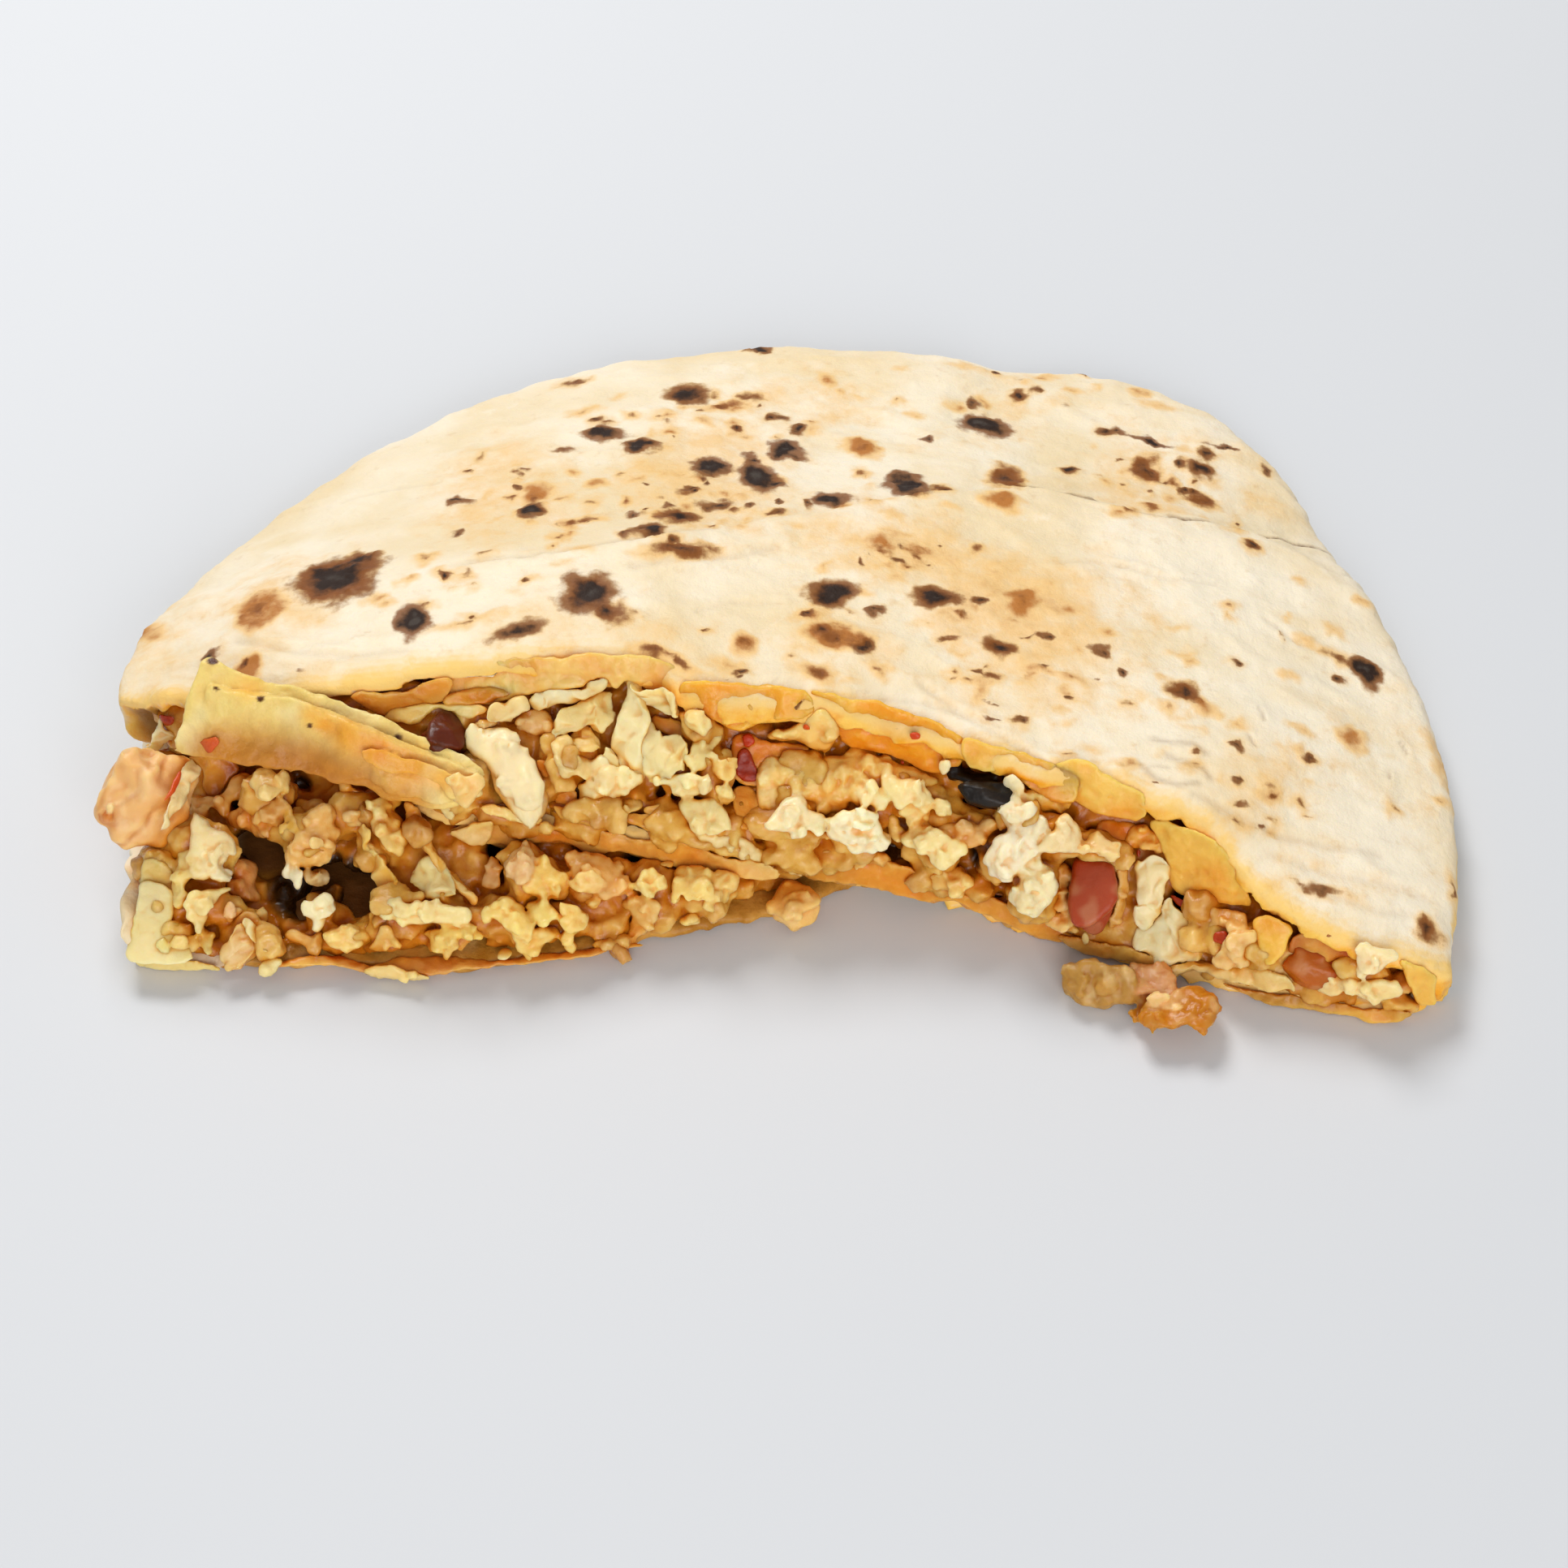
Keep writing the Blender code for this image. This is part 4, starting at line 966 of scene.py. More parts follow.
# Curds, leaves and layers: knobbly curds of paneer, shreds of cabbage and onion, and thin oily
# layers of dough. Each is drawn by the outline that is seen of it, laid on the bed behind it.
# A row is the colour, how far it stands out in mm, and the outline.
UPPER_CURDS = (
    ("E9C58C", 1.0, "569,907 578,893 590,887 604,887 616,890 599,898 581,906 572,915"),
    ("DDB57C", 1.6, "637,887 643,875 663,871 678,878 681,893 669,904 654,907 643,898 635,893"),
    ("EFD093", 1.8, "675,916 687,907 701,901 704,916 713,931 728,936 730,954 722,966 710,957 695,948 "
     "684,936"),
    ("F9EAC2", 2.8, "728,936 742,928 751,936 754,954 763,954 789,954 792,963 783,972 769,980 751,989 "
     "730,996 719,992 716,977 710,966 722,963"),
    ("F8DEA4", 2.0, "842,881 851,872 865,875 877,887 880,898 865,901 851,900 842,893"),
    ("F9E1A6", 2.8, "851,919 860,907 880,901 886,916 877,928 874,945 863,951 851,950 848,934"),
    ("F4CD80", 2.2, "881,934 889,919 901,919 905,934 901,945 901,966 889,963 883,948"),
    ("F8E7BA", 2.8, "804,963 821,957 845,951 865,954 880,969 871,978 851,981 836,978 821,966"),
    ("F8DC9C", 2.4, "880,966 895,966 904,978 908,984 898,990 892,995 883,984"),
    ("F5E2AC", 3.0, "833,990 845,981 863,987 877,981 889,990 898,1007 904,1025 892,1022 874,1025 863,1028 "
     "851,1019 839,1001"),
    ("F1DAAC", 2.4, "751,992 769,984 786,982 795,992 783,1001 769,1004 754,1000"),
    ("F2D7A4", 1.6, "851,1025 868,1028 892,1025 918,1031 930,1039 942,1048 956,1054 950,1069 930,1063 "
     "904,1057 886,1051 868,1042"),
    ("F8D286", 1.2, "942,907 951,900 974,898 989,887 1000,880 1012,872 1024,880 1034,894 1030,912 1022,928 "
     "1004,926 985,912 951,913"),
    ("F4C974", 1.0, "1042,928 1049,914 1060,920 1078,922 1068,930 1050,932"),
    ("F1CB7C", 0.8, "933,947 939,936 959,932 980,935 1003,932 1027,933 1053,932 1083,929 1103,936 1118,944 "
     "1141,953 1153,970 1120,975 1085,985 1015,991 989,985 948,1005 936,1002 933,988 939,967"),
    ("F8DFA8", 1.8, "933,947 942,938 959,938 962,964 948,976 956,994 936,1005 933,988"),
    ("FAEED0", 2.8, "948,1011 959,988 983,976 992,988 1000,1002 1015,1002 1019,1014 1009,1026 994,1023 "
     "989,1032 974,1035 974,1023 948,1026 939,1017"),
    ("F4DCA2", 2.2, "1000,991 1021,991 1030,973 1047,964 1056,967 1056,982 1041,994 1027,1002 1015,1002"),
    ("FBE8BC", 2.8, "1055,976 1062,969 1080,973 1094,979 1097,991 1085,1000 1071,991 1059,985"),
    ("FAE6B4", 2.6, "1084,970 1088,955 1100,953 1106,960 1129,958 1141,970 1146,979 1132,988 1118,994 "
     "1100,988"),
    ("FDF4DE", 3.6, "1018,1023 1027,1005 1044,1000 1059,994 1077,1000 1085,1014 1093,1032 1088,1046 "
     "1071,1049 1056,1046 1041,1038 1024,1035 1015,1029"),
    ("FCECC2", 3.0, "1088,1011 1100,1000 1109,1011 1106,1017 1121,1023 1118,1035 1097,1032"),
    ("F8DCA0", 2.4, "1109,994 1124,988 1141,988 1150,1000 1141,1011 1121,1011 1106,1002"),
    ("F7DEA8", 2.4, "1150,994 1165,985 1173,991 1175,1008 1165,1008 1153,1005"),
    ("F7E4B0", 3.2, "1106,1032 1118,1020 1141,1014 1156,1020 1165,1032 1185,1035 1185,1052 1176,1067 "
     "1159,1074 1147,1064 1141,1049 1129,1049 1112,1041"),
    ("E3B576", 2.2, "1159,1017 1176,1011 1197,1011 1209,1020 1214,1010 1226,1011 1229,1020 1217,1035 "
     "1200,1046 1185,1044 1170,1032"),
    ("E4AF62", 1.4, "1056,1049 1083,1049 1097,1055 1094,1073 1083,1073 1056,1061"),
    ("E2B264", 1.6, "1132,1082 1144,1073 1159,1076 1182,1064 1194,1076 1203,1082 1194,1096 1179,1101 "
     "1165,1099 1147,1096"),
    ("F4D48E", 2.6, "1170,1093 1180,1081 1190,1083 1197,1081 1200,1090 1188,1098 1176,1099"),
    ("F8EDD4", 2.8, "1234,964 1238,955 1250,952 1262,964 1263,979 1256,982 1250,973 1238,973"),
    ("F3E9D4", 3.2, "1232,994 1238,976 1247,973 1259,982 1264,994 1276,1002 1291,1005 1294,1023 1285,1032 "
     "1276,1041 1273,1052 1259,1058 1253,1049 1241,1023 1232,1005"),
    ("F6EFE0", 4.2, "1219,1046 1223,1035 1235,1026 1250,1023 1259,1032 1267,1046 1279,1052 1267,1064 "
     "1259,1073 1247,1082 1235,1082 1217,1079 1216,1067 1209,1061 1212,1055"),
    ("F4E1BC", 3.0, "1276,1052 1285,1032 1300,1023 1303,1005 1314,1002 1323,1011 1335,1029 1332,1043 "
     "1314,1052 1297,1052"),
    ("F8EECE", 4.2, "1241,1096 1256,1087 1253,1070 1264,1064 1276,1058 1291,1070 1303,1082 1303,1096 "
     "1297,1111 1288,1120 1276,1133 1264,1127 1256,1120 1241,1111"),
    ("F6DA94", 1.6, "1264,976 1279,976 1297,979 1314,979 1317,994 1306,1002 1291,1002 1276,1000 1261,988"),
    ("F1D4A2", 3.0, "1326,1041 1341,1032 1364,1032 1379,1041 1382,1058 1370,1055 1353,1052 1335,1052 "
     "1320,1052"),
    ("E4B274", 1.8, "1303,1070 1310,1060 1320,1068 1318,1100 1320,1135 1308,1128 1303,1105"),
    ("EBC080", 1.4, "1281,1128 1300,1120 1314,1130 1330,1146 1312,1150 1290,1142"),
    ("E2A650", 1.6, "1375,1050 1384,1056 1392,1075 1390,1110 1380,1140 1365,1145 1372,1124 1380,1100"),
    ("E3B575", 1.8, "1476,1124 1503,1118 1520,1121 1537,1124 1540,1138 1530,1148 1510,1145 1500,1141 "
     "1486,1145"),
    ("ECC484", 2.0, "1506,1161 1517,1148 1533,1148 1550,1141 1550,1161 1537,1175 1530,1195 1517,1192 "
     "1503,1188 1489,1178 1503,1172"),
    ("F7E5C2", 2.6, "1669,1165 1689,1165 1702,1168 1722,1172 1726,1182 1713,1188 1696,1199 1675,1204 "
     "1672,1188"),
    ("F2D39E", 2.2, "1615,1212 1628,1202 1652,1195 1669,1199 1672,1205 1658,1216 1652,1229 1638,1229 "
     "1628,1222"),
    ("F5DEAC", 2.8, "1660,1216 1672,1207 1692,1207 1706,1205 1722,1212 1729,1219 1726,1229 1709,1232 "
     "1689,1234 1672,1227"),
    ("F2D59C", 2.0, "1330,1150 1340,1148 1344,1160 1336,1166"),
    ("EDB050", 1.2, "1388,1023 1402,1013 1422,1023 1435,1033 1429,1043 1402,1047 1388,1043"),
)
LOWER_CURDS = (
    ("F8E7BE", 3.0, "238,995 252,1016 267,1021 279,1024 288,1033 292,1048 289,1054 282,1051 279,1062 "
     "267,1071 255,1083 241,1083 229,1077 238,1062 232,1048 235,1024"),
    ("F6DC98", 2.8, "217,1048 229,1045 244,1048 247,1062 241,1071 229,1077 226,1092 229,1106 226,1118 "
     "217,1121 211,1115 213,1103 211,1089 214,1071 220,1062"),
    ("F5E0A6", 3.0, "229,1106 238,1095 249,1098 264,1095 279,1092 288,1095 273,1104 267,1115 257,1121 "
     "254,1136 247,1143 238,1141 230,1134 229,1118"),
    ("FBF0D4", 4.4, "258,1083 267,1071 279,1067 289,1073 287,1080 279,1084 267,1086"),
    ("EAC180", 2.4, "236,983 249,980 267,983 277,977 282,963 290,954 302,951 310,958 305,972 290,980 "
     "283,992 282,1001 267,998 252,995 249,1013 241,1013 235,1001"),
    ("F5D896", 2.6, "311,950 323,945 340,950 349,957 352,969 343,983 331,991 320,987 315,977 310,966"),
    ("DDAC68", 1.2, "282,1001 299,992 320,989 343,992 352,992 355,1010 343,1024 331,1033 317,1033 305,1024 "
     "288,1021 276,1013"),
    ("F1B856", 1.8, "350,995 358,992 364,1007 373,1021 364,1030 352,1024 349,1010"),
    ("F4D298", 2.8, "361,999 365,985 375,983 387,992 397,983 396,992 386,1001 373,1007"),
    ("EBBC72", 2.4, "355,1039 364,1030 373,1021 375,1007 390,989 408,989 413,1001 411,1015 416,1027 "
     "411,1045 405,1062 390,1068 375,1068 352,1068 349,1054"),
    ("F2CB8C", 3.6, "380,1036 386,1030 396,1032 400,1042 392,1048 382,1046"),
    ("FAF0DA", 2.8, "347,1070 355,1068 364,1071 375,1070 373,1083 368,1098 364,1095 361,1086 349,1083"),
    ("CBB896", 0.8, "373,1071 387,1071 402,1079 399,1095 387,1095 375,1086"),
    ("F9EFD0", 3.4, "373,1121 386,1111 396,1099 408,1102 409,1115 402,1133 393,1149 384,1148 387,1136 "
     "383,1127"),
    ("EBBE94", 2.0, "279,1118 287,1115 299,1118 305,1124 293,1130 282,1139 277,1130"),
    ("F3DAAE", 2.2, "302,1127 311,1118 323,1124 330,1131 327,1143 317,1142 305,1139"),
    ("DDA87A", 1.0, "282,1065 299,1057 314,1060 321,1068 317,1080 311,1092 323,1106 317,1115 302,1109 "
     "288,1106 276,1100 291,1083"),
    ("F4DF98", 2.4, "191,1159 203,1150 208,1162 211,1177 200,1174 191,1168"),
    ("F1D088", 2.4, "214,1156 229,1147 244,1153 247,1168 238,1174 226,1168 217,1174"),
    ("F6E2AA", 2.6, "247,1147 258,1142 264,1156 261,1174 249,1174"),
    ("E3C274", 1.8, "200,1139 223,1139 229,1150 217,1153 203,1147"),
    ("D9AE5A", 1.4, "170,1048 182,1039 191,1045 217,1054 220,1071 208,1080 176,1077 169,1062"),
    ("C8A658", 0.8, "176,1077 208,1077 211,1100 200,1115 179,1109 175,1095"),
    ("F3CD80", 2.4, "452,1007 466,995 487,995 499,1013 502,1036 493,1054 478,1051 466,1033 458,1021"),
    ("F5E0A8", 2.8, "449,992 466,980 484,977 499,983 496,995 475,995 461,1001 449,1004"),
    ("EABC76", 1.6, "414,954 420,945 426,960 437,972 452,977 446,995 431,995 420,977"),
    ("E5BC80", 1.4, "420,1004 431,998 449,998 458,1001 446,1013 437,1021 426,1018"),
    ("F6E4AE", 3.4, "454,1115 464,1106 481,1108 490,1115 511,1112 534,1112 560,1115 580,1118 583,1130 "
     "575,1140 534,1139 505,1140 490,1136 475,1133 467,1127"),
    ("EAC488", 1.8, "349,1150 364,1144 376,1150 393,1153 402,1162 387,1168 370,1165 355,1159"),
    ("F4D086", 2.2, "402,1159 417,1144 431,1139 443,1147 449,1162 440,1172 423,1168 405,1168"),
    ("E7B868", 1.8, "449,1171 461,1159 467,1141 478,1139 487,1150 491,1165 481,1168 467,1174"),
    ("F4D482", 2.2, "519,1150 534,1142 551,1145 560,1156 551,1168 540,1171 528,1168 531,1159"),
    ("F8D880", 2.6, "540,1142 558,1142 569,1142 584,1145 596,1150 594,1159 578,1159 566,1155 552,1153"),
    ("F0C87C", 1.8, "549,1162 561,1156 571,1165 565,1169 555,1174 549,1186 546,1174"),
    ("F2CC8A", 1.8, "540,957 558,957 572,954 590,954 596,966 590,980 578,992 563,992 552,977"),
    ("F4DAA2", 2.0, "540,977 558,992 563,1001 558,1010 549,1010 544,996"),
    ("DCB184", 2.2, "596,1075 604,1066 613,1065 619,1075 617,1090 610,1098 600,1096 592,1092"),
    ("E2BC8C", 2.8, "619,1065 625,1055 639,1045 648,1038 656,1044 660,1056 656,1075 650,1090 640,1092 "
     "630,1082 622,1075"),
    ("F6D07A", 2.6, "640,1095 650,1080 661,1068 666,1058 680,1062 690,1075 702,1072 705,1092 700,1104 "
     "690,1110 660,1106 648,1104"),
    ("E5B572", 1.8, "700,1050 720,1052 745,1052 760,1065 770,1078 776,1092 766,1104 750,1110 735,1104 "
     "716,1100 704,1090 702,1070"),
    ("EECB84", 3.0, "703,1085 715,1074 730,1070 740,1078 745,1092 735,1104 720,1100 708,1096"),
    ("F1CC80", 2.6, "716,1110 722,1104 736,1106 743,1112 736,1122 724,1120"),
    ("F7D888", 2.8, "592,1125 604,1112 616,1105 632,1106 640,1118 652,1128 660,1142 654,1152 640,1150 "
     "628,1148 618,1140 608,1128 598,1130"),
    ("F9DC8C", 3.2, "650,1110 668,1108 682,1115 690,1128 680,1136 664,1138 656,1130 648,1120"),
    ("F6D384", 2.6, "630,1150 645,1142 660,1146 675,1140 682,1150 674,1162 660,1172 652,1186 646,1178 "
     "636,1170"),
    ("F5D07E", 3.0, "686,1108 700,1112 712,1118 722,1130 718,1146 708,1150 700,1158 710,1164 708,1176 "
     "698,1174 686,1160 694,1148 698,1132 690,1120"),
    ("F4DC96", 2.8, "777,1092 786,1080 794,1070 806,1070 812,1080 816,1092 806,1104 796,1106 790,1098 "
     "780,1100"),
    ("E7BC74", 2.2, "765,1110 780,1100 800,1106 815,1112 816,1124 806,1130 800,1142 794,1152 778,1150 "
     "772,1138 780,1130 770,1122"),
    ("F5D68A", 3.2, "830,1078 836,1068 850,1066 862,1064 872,1072 876,1090 870,1104 862,1112 850,1108 "
     "846,1096 838,1100 832,1116 826,1110 828,1094"),
    ("F0CC84", 2.6, "880,1072 896,1070 896,1088 899,1105 894,1120 880,1126 866,1122 868,1108 876,1098"),
    ("F3D48C", 2.4, "836,1132 850,1124 862,1130 864,1138 850,1142 840,1138"),
    ("E4B96E", 1.4, "728,1160 750,1156 775,1152 790,1160 776,1168 750,1172 730,1170"),
    ("EFCB8E", 3.0, "812,1064 822,1058 832,1062 828,1070 818,1070"),
    ("F7E8C0", 2.4, "614,1172 620,1166 628,1170 632,1176 624,1182 614,1182"),
    ("F6E6B8", 3.0, "333,1176 346,1180 349,1187 340,1197 333,1205 323,1205 321,1197 330,1188"),
    ("F3D9A2", 2.2, "440,1196 462,1190 482,1186 500,1196 512,1194 520,1200 534,1203 528,1209 500,1206 "
     "480,1207 460,1204"),
    ("EFCF96", 2.0, "968,1068 980,1066 990,1072 984,1078 972,1078"),
    ("E8BE80", 2.0, "936,1068 948,1066 958,1070 954,1078 940,1080"),
)
LAYERS = (
    ("F2CC80", 0.3, "540,836 560,825 590,815 640,812 700,808 760,805 800,808 830,820 850,835 865,850 "
     "842,858 820,851 798,848 775,838 757,851 745,838 736,834 720,842 700,850 657,852 640,858 620,864 "
     "600,870 570,868 545,868"),
    # This row and the next are painted shadow: dark orange sheets in the shade between the flap and the naan
    ("DC9228", 1.5, "545,856 580,850 610,846 645,842 640,852 620,860 600,868 570,868 545,868"),
    ("CC8F42", 0.8, "425,862 440,852 470,852 500,852 520,842 545,835 560,840 550,858 545,868 500,872 "
     "470,882 445,872"),
    ("F8E2A8", 1.4, "469,881 481,875 499,872 519,869 540,867 570,867 599,869 604,875 584,884 569,885 "
     "558,875 540,873 525,885 519,893 490,890"),
    ("F6B63C", 0.3, "832,842 870,836 905,840 950,845 1002,850 1004,884 975,886 945,888 925,897 905,898 "
     "885,890 865,876 845,872"),
    ("F2AA2C", 0.3, "996,848 1030,854 1060,861 1085,862 1104,872 1144,890 1194,906 1190,945 1160,952 "
     "1140,950 1105,935 1060,925 1040,918 1030,900 1005,890"),
    ("F4C05C", 0.3, "1184,902 1240,922 1294,938 1334,952 1330,990 1300,990 1262,966 1235,952 1210,948 "
     "1190,945"),
    ("F8CE6E", 0.6, "1294,940 1334,934 1352,943 1362,957 1390,970 1418,976 1415,1003 1402,1010 1385,1008 "
     "1351,1006 1334,996 1321,982 1300,969"),
    ("F5C662", 1.0, "1412,1004 1442,1010 1462,1018 1482,1026 1506,1044 1524,1066 1536,1092 1546,1118 "
     "1520,1118 1500,1111 1483,1107 1469,1101 1449,1097 1439,1087 1439,1074 1435,1053"),
    ("F3C254", 1.8, "1544,1134 1564,1128 1587,1138 1594,1148 1584,1158 1584,1172 1571,1188 1560,1192 "
     "1550,1178 1550,1158"),
    ("EFC262", 1.2, "1722,1182 1749,1192 1773,1202 1766,1226 1770,1239 1749,1239 1736,1219 1729,1205"),
    ("ECC07A", 1.6, "549,1021 572,1013 590,1006 620,1010 650,1018 690,1020 730,1018 757,1025 775,1032 "
     "800,1036 830,1034 860,1040 880,1050 905,1058 940,1062 962,1070 962,1085 940,1082 905,1080 880,1078 "
     "850,1075 830,1065 808,1060 783,1055 770,1052 745,1050 722,1050 704,1042 687,1038 669,1038 651,1036 "
     "637,1040 613,1038 596,1045 581,1042 566,1036"),
    # A cream strip of dough, lightened by a painted highlight
    ("F9E4B2", 2.4, "590,992 619,995 640,1002 669,1008 667,1017 643,1015 619,1008 600,1004"),
    ("F0D09C", 2.6, "549,1023 563,1022 575,1015 588,1010 610,1012 606,1028 596,1045 581,1042 566,1034"),
    ("C8943E", 1.2, "678,992 698,995 722,992 745,1001 763,1004 795,1004 821,1007 845,1013 851,1024 "
     "833,1021 812,1024 789,1021 771,1013 754,1010 727,1016 704,1016 687,1007"),
    ("E2B47C", 1.8, "790,1000 812,990 833,992 845,1010 850,1022 821,1014 801,1008"),
    ("D89A3C", 1.4, "962,1048 989,1043 1018,1048 1039,1044 1053,1052 1088,1060 1118,1066 1150,1090 "
     "1200,1104 1240,1112 1280,1134 1320,1150 1340,1160 1340,1168 1310,1163 1285,1158 1262,1146 1230,1134 "
     "1200,1122 1180,1110 1150,1115 1120,1106 1090,1098 1060,1092 1027,1087 994,1080 966,1070"),
    ("B98C3C", 1.0, "1500,1209 1537,1219 1591,1226 1638,1236 1696,1243 1746,1246 1719,1259 1699,1259 "
     "1655,1253 1601,1241 1564,1238 1544,1229 1517,1219"),
    ("CB994E", 1.2, "1300,1147 1334,1155 1348,1161 1395,1168 1429,1178 1442,1188 1429,1192 1402,1188 "
     "1351,1177 1337,1176 1307,1161"),
    ("B0620C", 0.4, "226,934 241,928 264,928 282,934 296,942 293,951 279,963 273,980 255,980 247,966 "
     "249,948"),
    ("D8A060", 1.0, "300,1190 340,1185 380,1176 420,1182 460,1188 500,1182 540,1178 600,1186 660,1178 "
     "720,1170 780,1164 800,1160 780,1170 720,1180 640,1188 560,1198 500,1200 430,1194 370,1190"),
    ("E49030", 0.4, "904,969 933,969 939,990 933,1013 918,1025 907,1019 901,995"),
    ("E68E26", 0.2, "901,907 921,901 942,913 956,916 997,916 1000,931 971,934 942,937 933,951 939,966 "
     "921,969 904,963 901,942"),
    ("E09032", 0.6, "698,954 707,966 716,980 713,992 692,992 681,992 687,977 678,966 669,954 660,937 "
     "669,934 687,945"),
    ("EC9424", 0.6, "804,881 821,881 839,887 850,910 833,910 815,902 801,894"),
    ("DE8E24", 0.4, "1351,1010 1378,1010 1402,1011 1402,1023 1388,1030 1388,1043 1375,1037 1348,1031"),
    ("B4580C", 0.2, "1587,1158 1604,1145 1621,1151 1638,1151 1652,1161 1672,1165 1672,1185 1652,1185 "
     "1625,1188 1625,1209 1604,1209 1591,1202 1571,1192 1584,1175"),
)
END_WALL = (
    ("F2E6BC", 2.6, "172,1088 186,1084 204,1090 212,1104 216,1124 212,1142 220,1158 236,1172 240,1186 "
     "200,1189 172,1187 155,1184 157,1164 162,1140 168,1112"),
    ("DCC278", 2.2, "170,1062 186,1056 206,1060 214,1076 210,1096 194,1102 176,1098"),
    ("F0DCA0", 0.7, "156,1180 188,1177 217,1180 252,1186 276,1191 264,1196 217,1196 173,1193"),
)
FLAKES = (
    ("F7EDD2", 2.2, "648,869 651,857 657,851 678,849 704,849 722,840 736,834 744,837 744,849 727,854 "
     "716,860 704,866 687,869 666,871"),
    ("ECD098", 2.2, "599,878 616,866 634,860 648,853 650,869 637,878 634,893 616,890 607,884"),
    ("F2DCA4", 2.8, "684,875 704,866 727,854 745,849 757,851 760,872 757,893 745,907 742,898 727,890 "
     "710,893 698,898 687,907 678,919 675,907 681,893"),
    ("EFB64E", 1.2, "704,898 722,890 739,895 742,913 733,931 722,936 710,928 701,913"),
    ("F8E4B4", 2.8, "777,836 798,846 821,849 842,857 842,878 833,884 821,878 800,876 782,868"),
    ("F4DCA4", 2.8, "795,893 807,901 821,907 842,910 851,919 848,934 848,951 833,954 821,957 807,963 "
     "797,960 792,930"),
    ("F4E4B0", 2.8, "496,1080 505,1068 520,1054 534,1054 552,1062 560,1077 561,1100 540,1109 523,1100 "
     "508,1089"),
    ("D9AC6C", 2.4, "267,1168 282,1150 295,1135 305,1144 317,1156 317,1168 305,1188 302,1195 290,1191 "
     "285,1200 276,1182"),
    ("F3D8A8", 2.8, "295,1135 311,1138 329,1153 346,1162 335,1171 320,1168 305,1150"),
    ("F4E8D4", 2.6, "192,880 201,893 217,896 223,901 214,913 200,919 188,931 179,934 178,922 185,904"),
    ("F4D3A2", 3.0, "225,945 232,934 241,931 245,942 238,966 229,989 217,1007 200,1021 194,1021 197,1010 "
     "208,983 217,963"),
    ("F8E8C4", 2.4, "1155,942 1166,936 1176,942 1172,952 1160,954"),
)
PEPPER_BITS = (
    ("D0602C", 0.9, "241,920 252,909 270,907 273,916 264,928 247,928"),
    ("6E1A0C", 0.6, "192,878 214,882 217,893 201,893"),
    ("C4582C", 3.6, "201,989 211,966 222,947 225,954 217,972 206,986"),
    ("8E2606", 0.9, "906,930 914,920 924,924 933,946 936,960 922,966 908,958"),
    ("B8380C", 1.6, "912,905 924,903 930,915 918,924"), ("D4501A", 1.6, "987,900 990,889 1000,900"),
    ("B83A12", 1.6, "1120,903 1136,904 1133,911 1122,910"),
    ("8E1A08", 1.4, "1604,1196 1626,1186 1668,1180 1664,1189 1628,1193 1610,1203"),
    ("7E1E06", 0.6, "1440,1100 1460,1108 1492,1112 1486,1122 1462,1120 1446,1112"),
    ("8A2408", 0.6, "1496,1150 1512,1146 1518,1160 1508,1166 1494,1160"),
    ("8A3410", 1.4, "1401,1046 1406,1048 1405,1058 1401,1056"),
    ("7A3010", 1.8, "1110,937 1116,940 1114,944 1109,941"),
)


def exposed_places(solid, blockers, spacing, draw):
    """Places on a solid that can be seen from somewhere in front, spaced evenly."""
    mesh = solid.data
    mesh.calc_loop_triangles()
    kept = []
    ways = [Vector((math.sin(a) * math.cos(e), -math.cos(a) * math.cos(e), math.sin(e)))
            for a in np.radians((-80, -45, 0, 45, 80)) for e in np.radians((4, 25, 50))]
    for triangle in mesh.loop_triangles:
        a, b, c = (mesh.vertices[index].co for index in triangle.vertices)
        facing = (b - a).cross(c - a)
        many = facing.length / 2 / (spacing * spacing) * 3
        facing.normalize()
        for _ in range(int(many) + (draw.random() < many % 1)):
            u, v = draw.random(), draw.random()
            if u + v > 1:
                u, v = 1 - u, 1 - v
            place = a + (b - a) * u + (c - a) * v
            if kept and min((place - other).length for other, _ in kept[-40:]) < spacing * 0.6:
                continue
            start = place + facing * 0.3 * MM
            if any(way.dot(facing) > 0 and blockers.ray_cast(start, way)[0] is None for way in ways):
                kept.append((place, facing.copy()))
    return kept


def openness(points, facings, tree, reach, rays):
    """The share of directions round each point that are free of other surfaces within reach, which sets how
    much painted shade it gets.
    """
    turns = [(math.acos(1 - 0.85 * (number + 0.5) / rays), number * 2.4) for number in range(rays)]
    free = np.zeros(len(points))
    for index in range(len(points)):
        facing = Vector(facings[index])
        start = Vector(points[index]) + facing * 0.15 * MM
        side = facing.orthogonal().normalized()
        other = facing.cross(side)
        count = 0
        for lean, turn in turns:
            outward = side * math.cos(turn) + other * math.sin(turn)
            way = facing * math.cos(lean) + outward * math.sin(lean)
            count += tree.ray_cast(start, way, reach)[0] is None
        free[index] = count / rays
    return free


CRUMB_VOXEL = 0.55 * MM
CRUMB_SPACING = 2.3 * MM
CRUMB_SIZES_MM = (1.3, 1.7, 2.2, 2.8)
CORE_INSET = 2.0 * MM


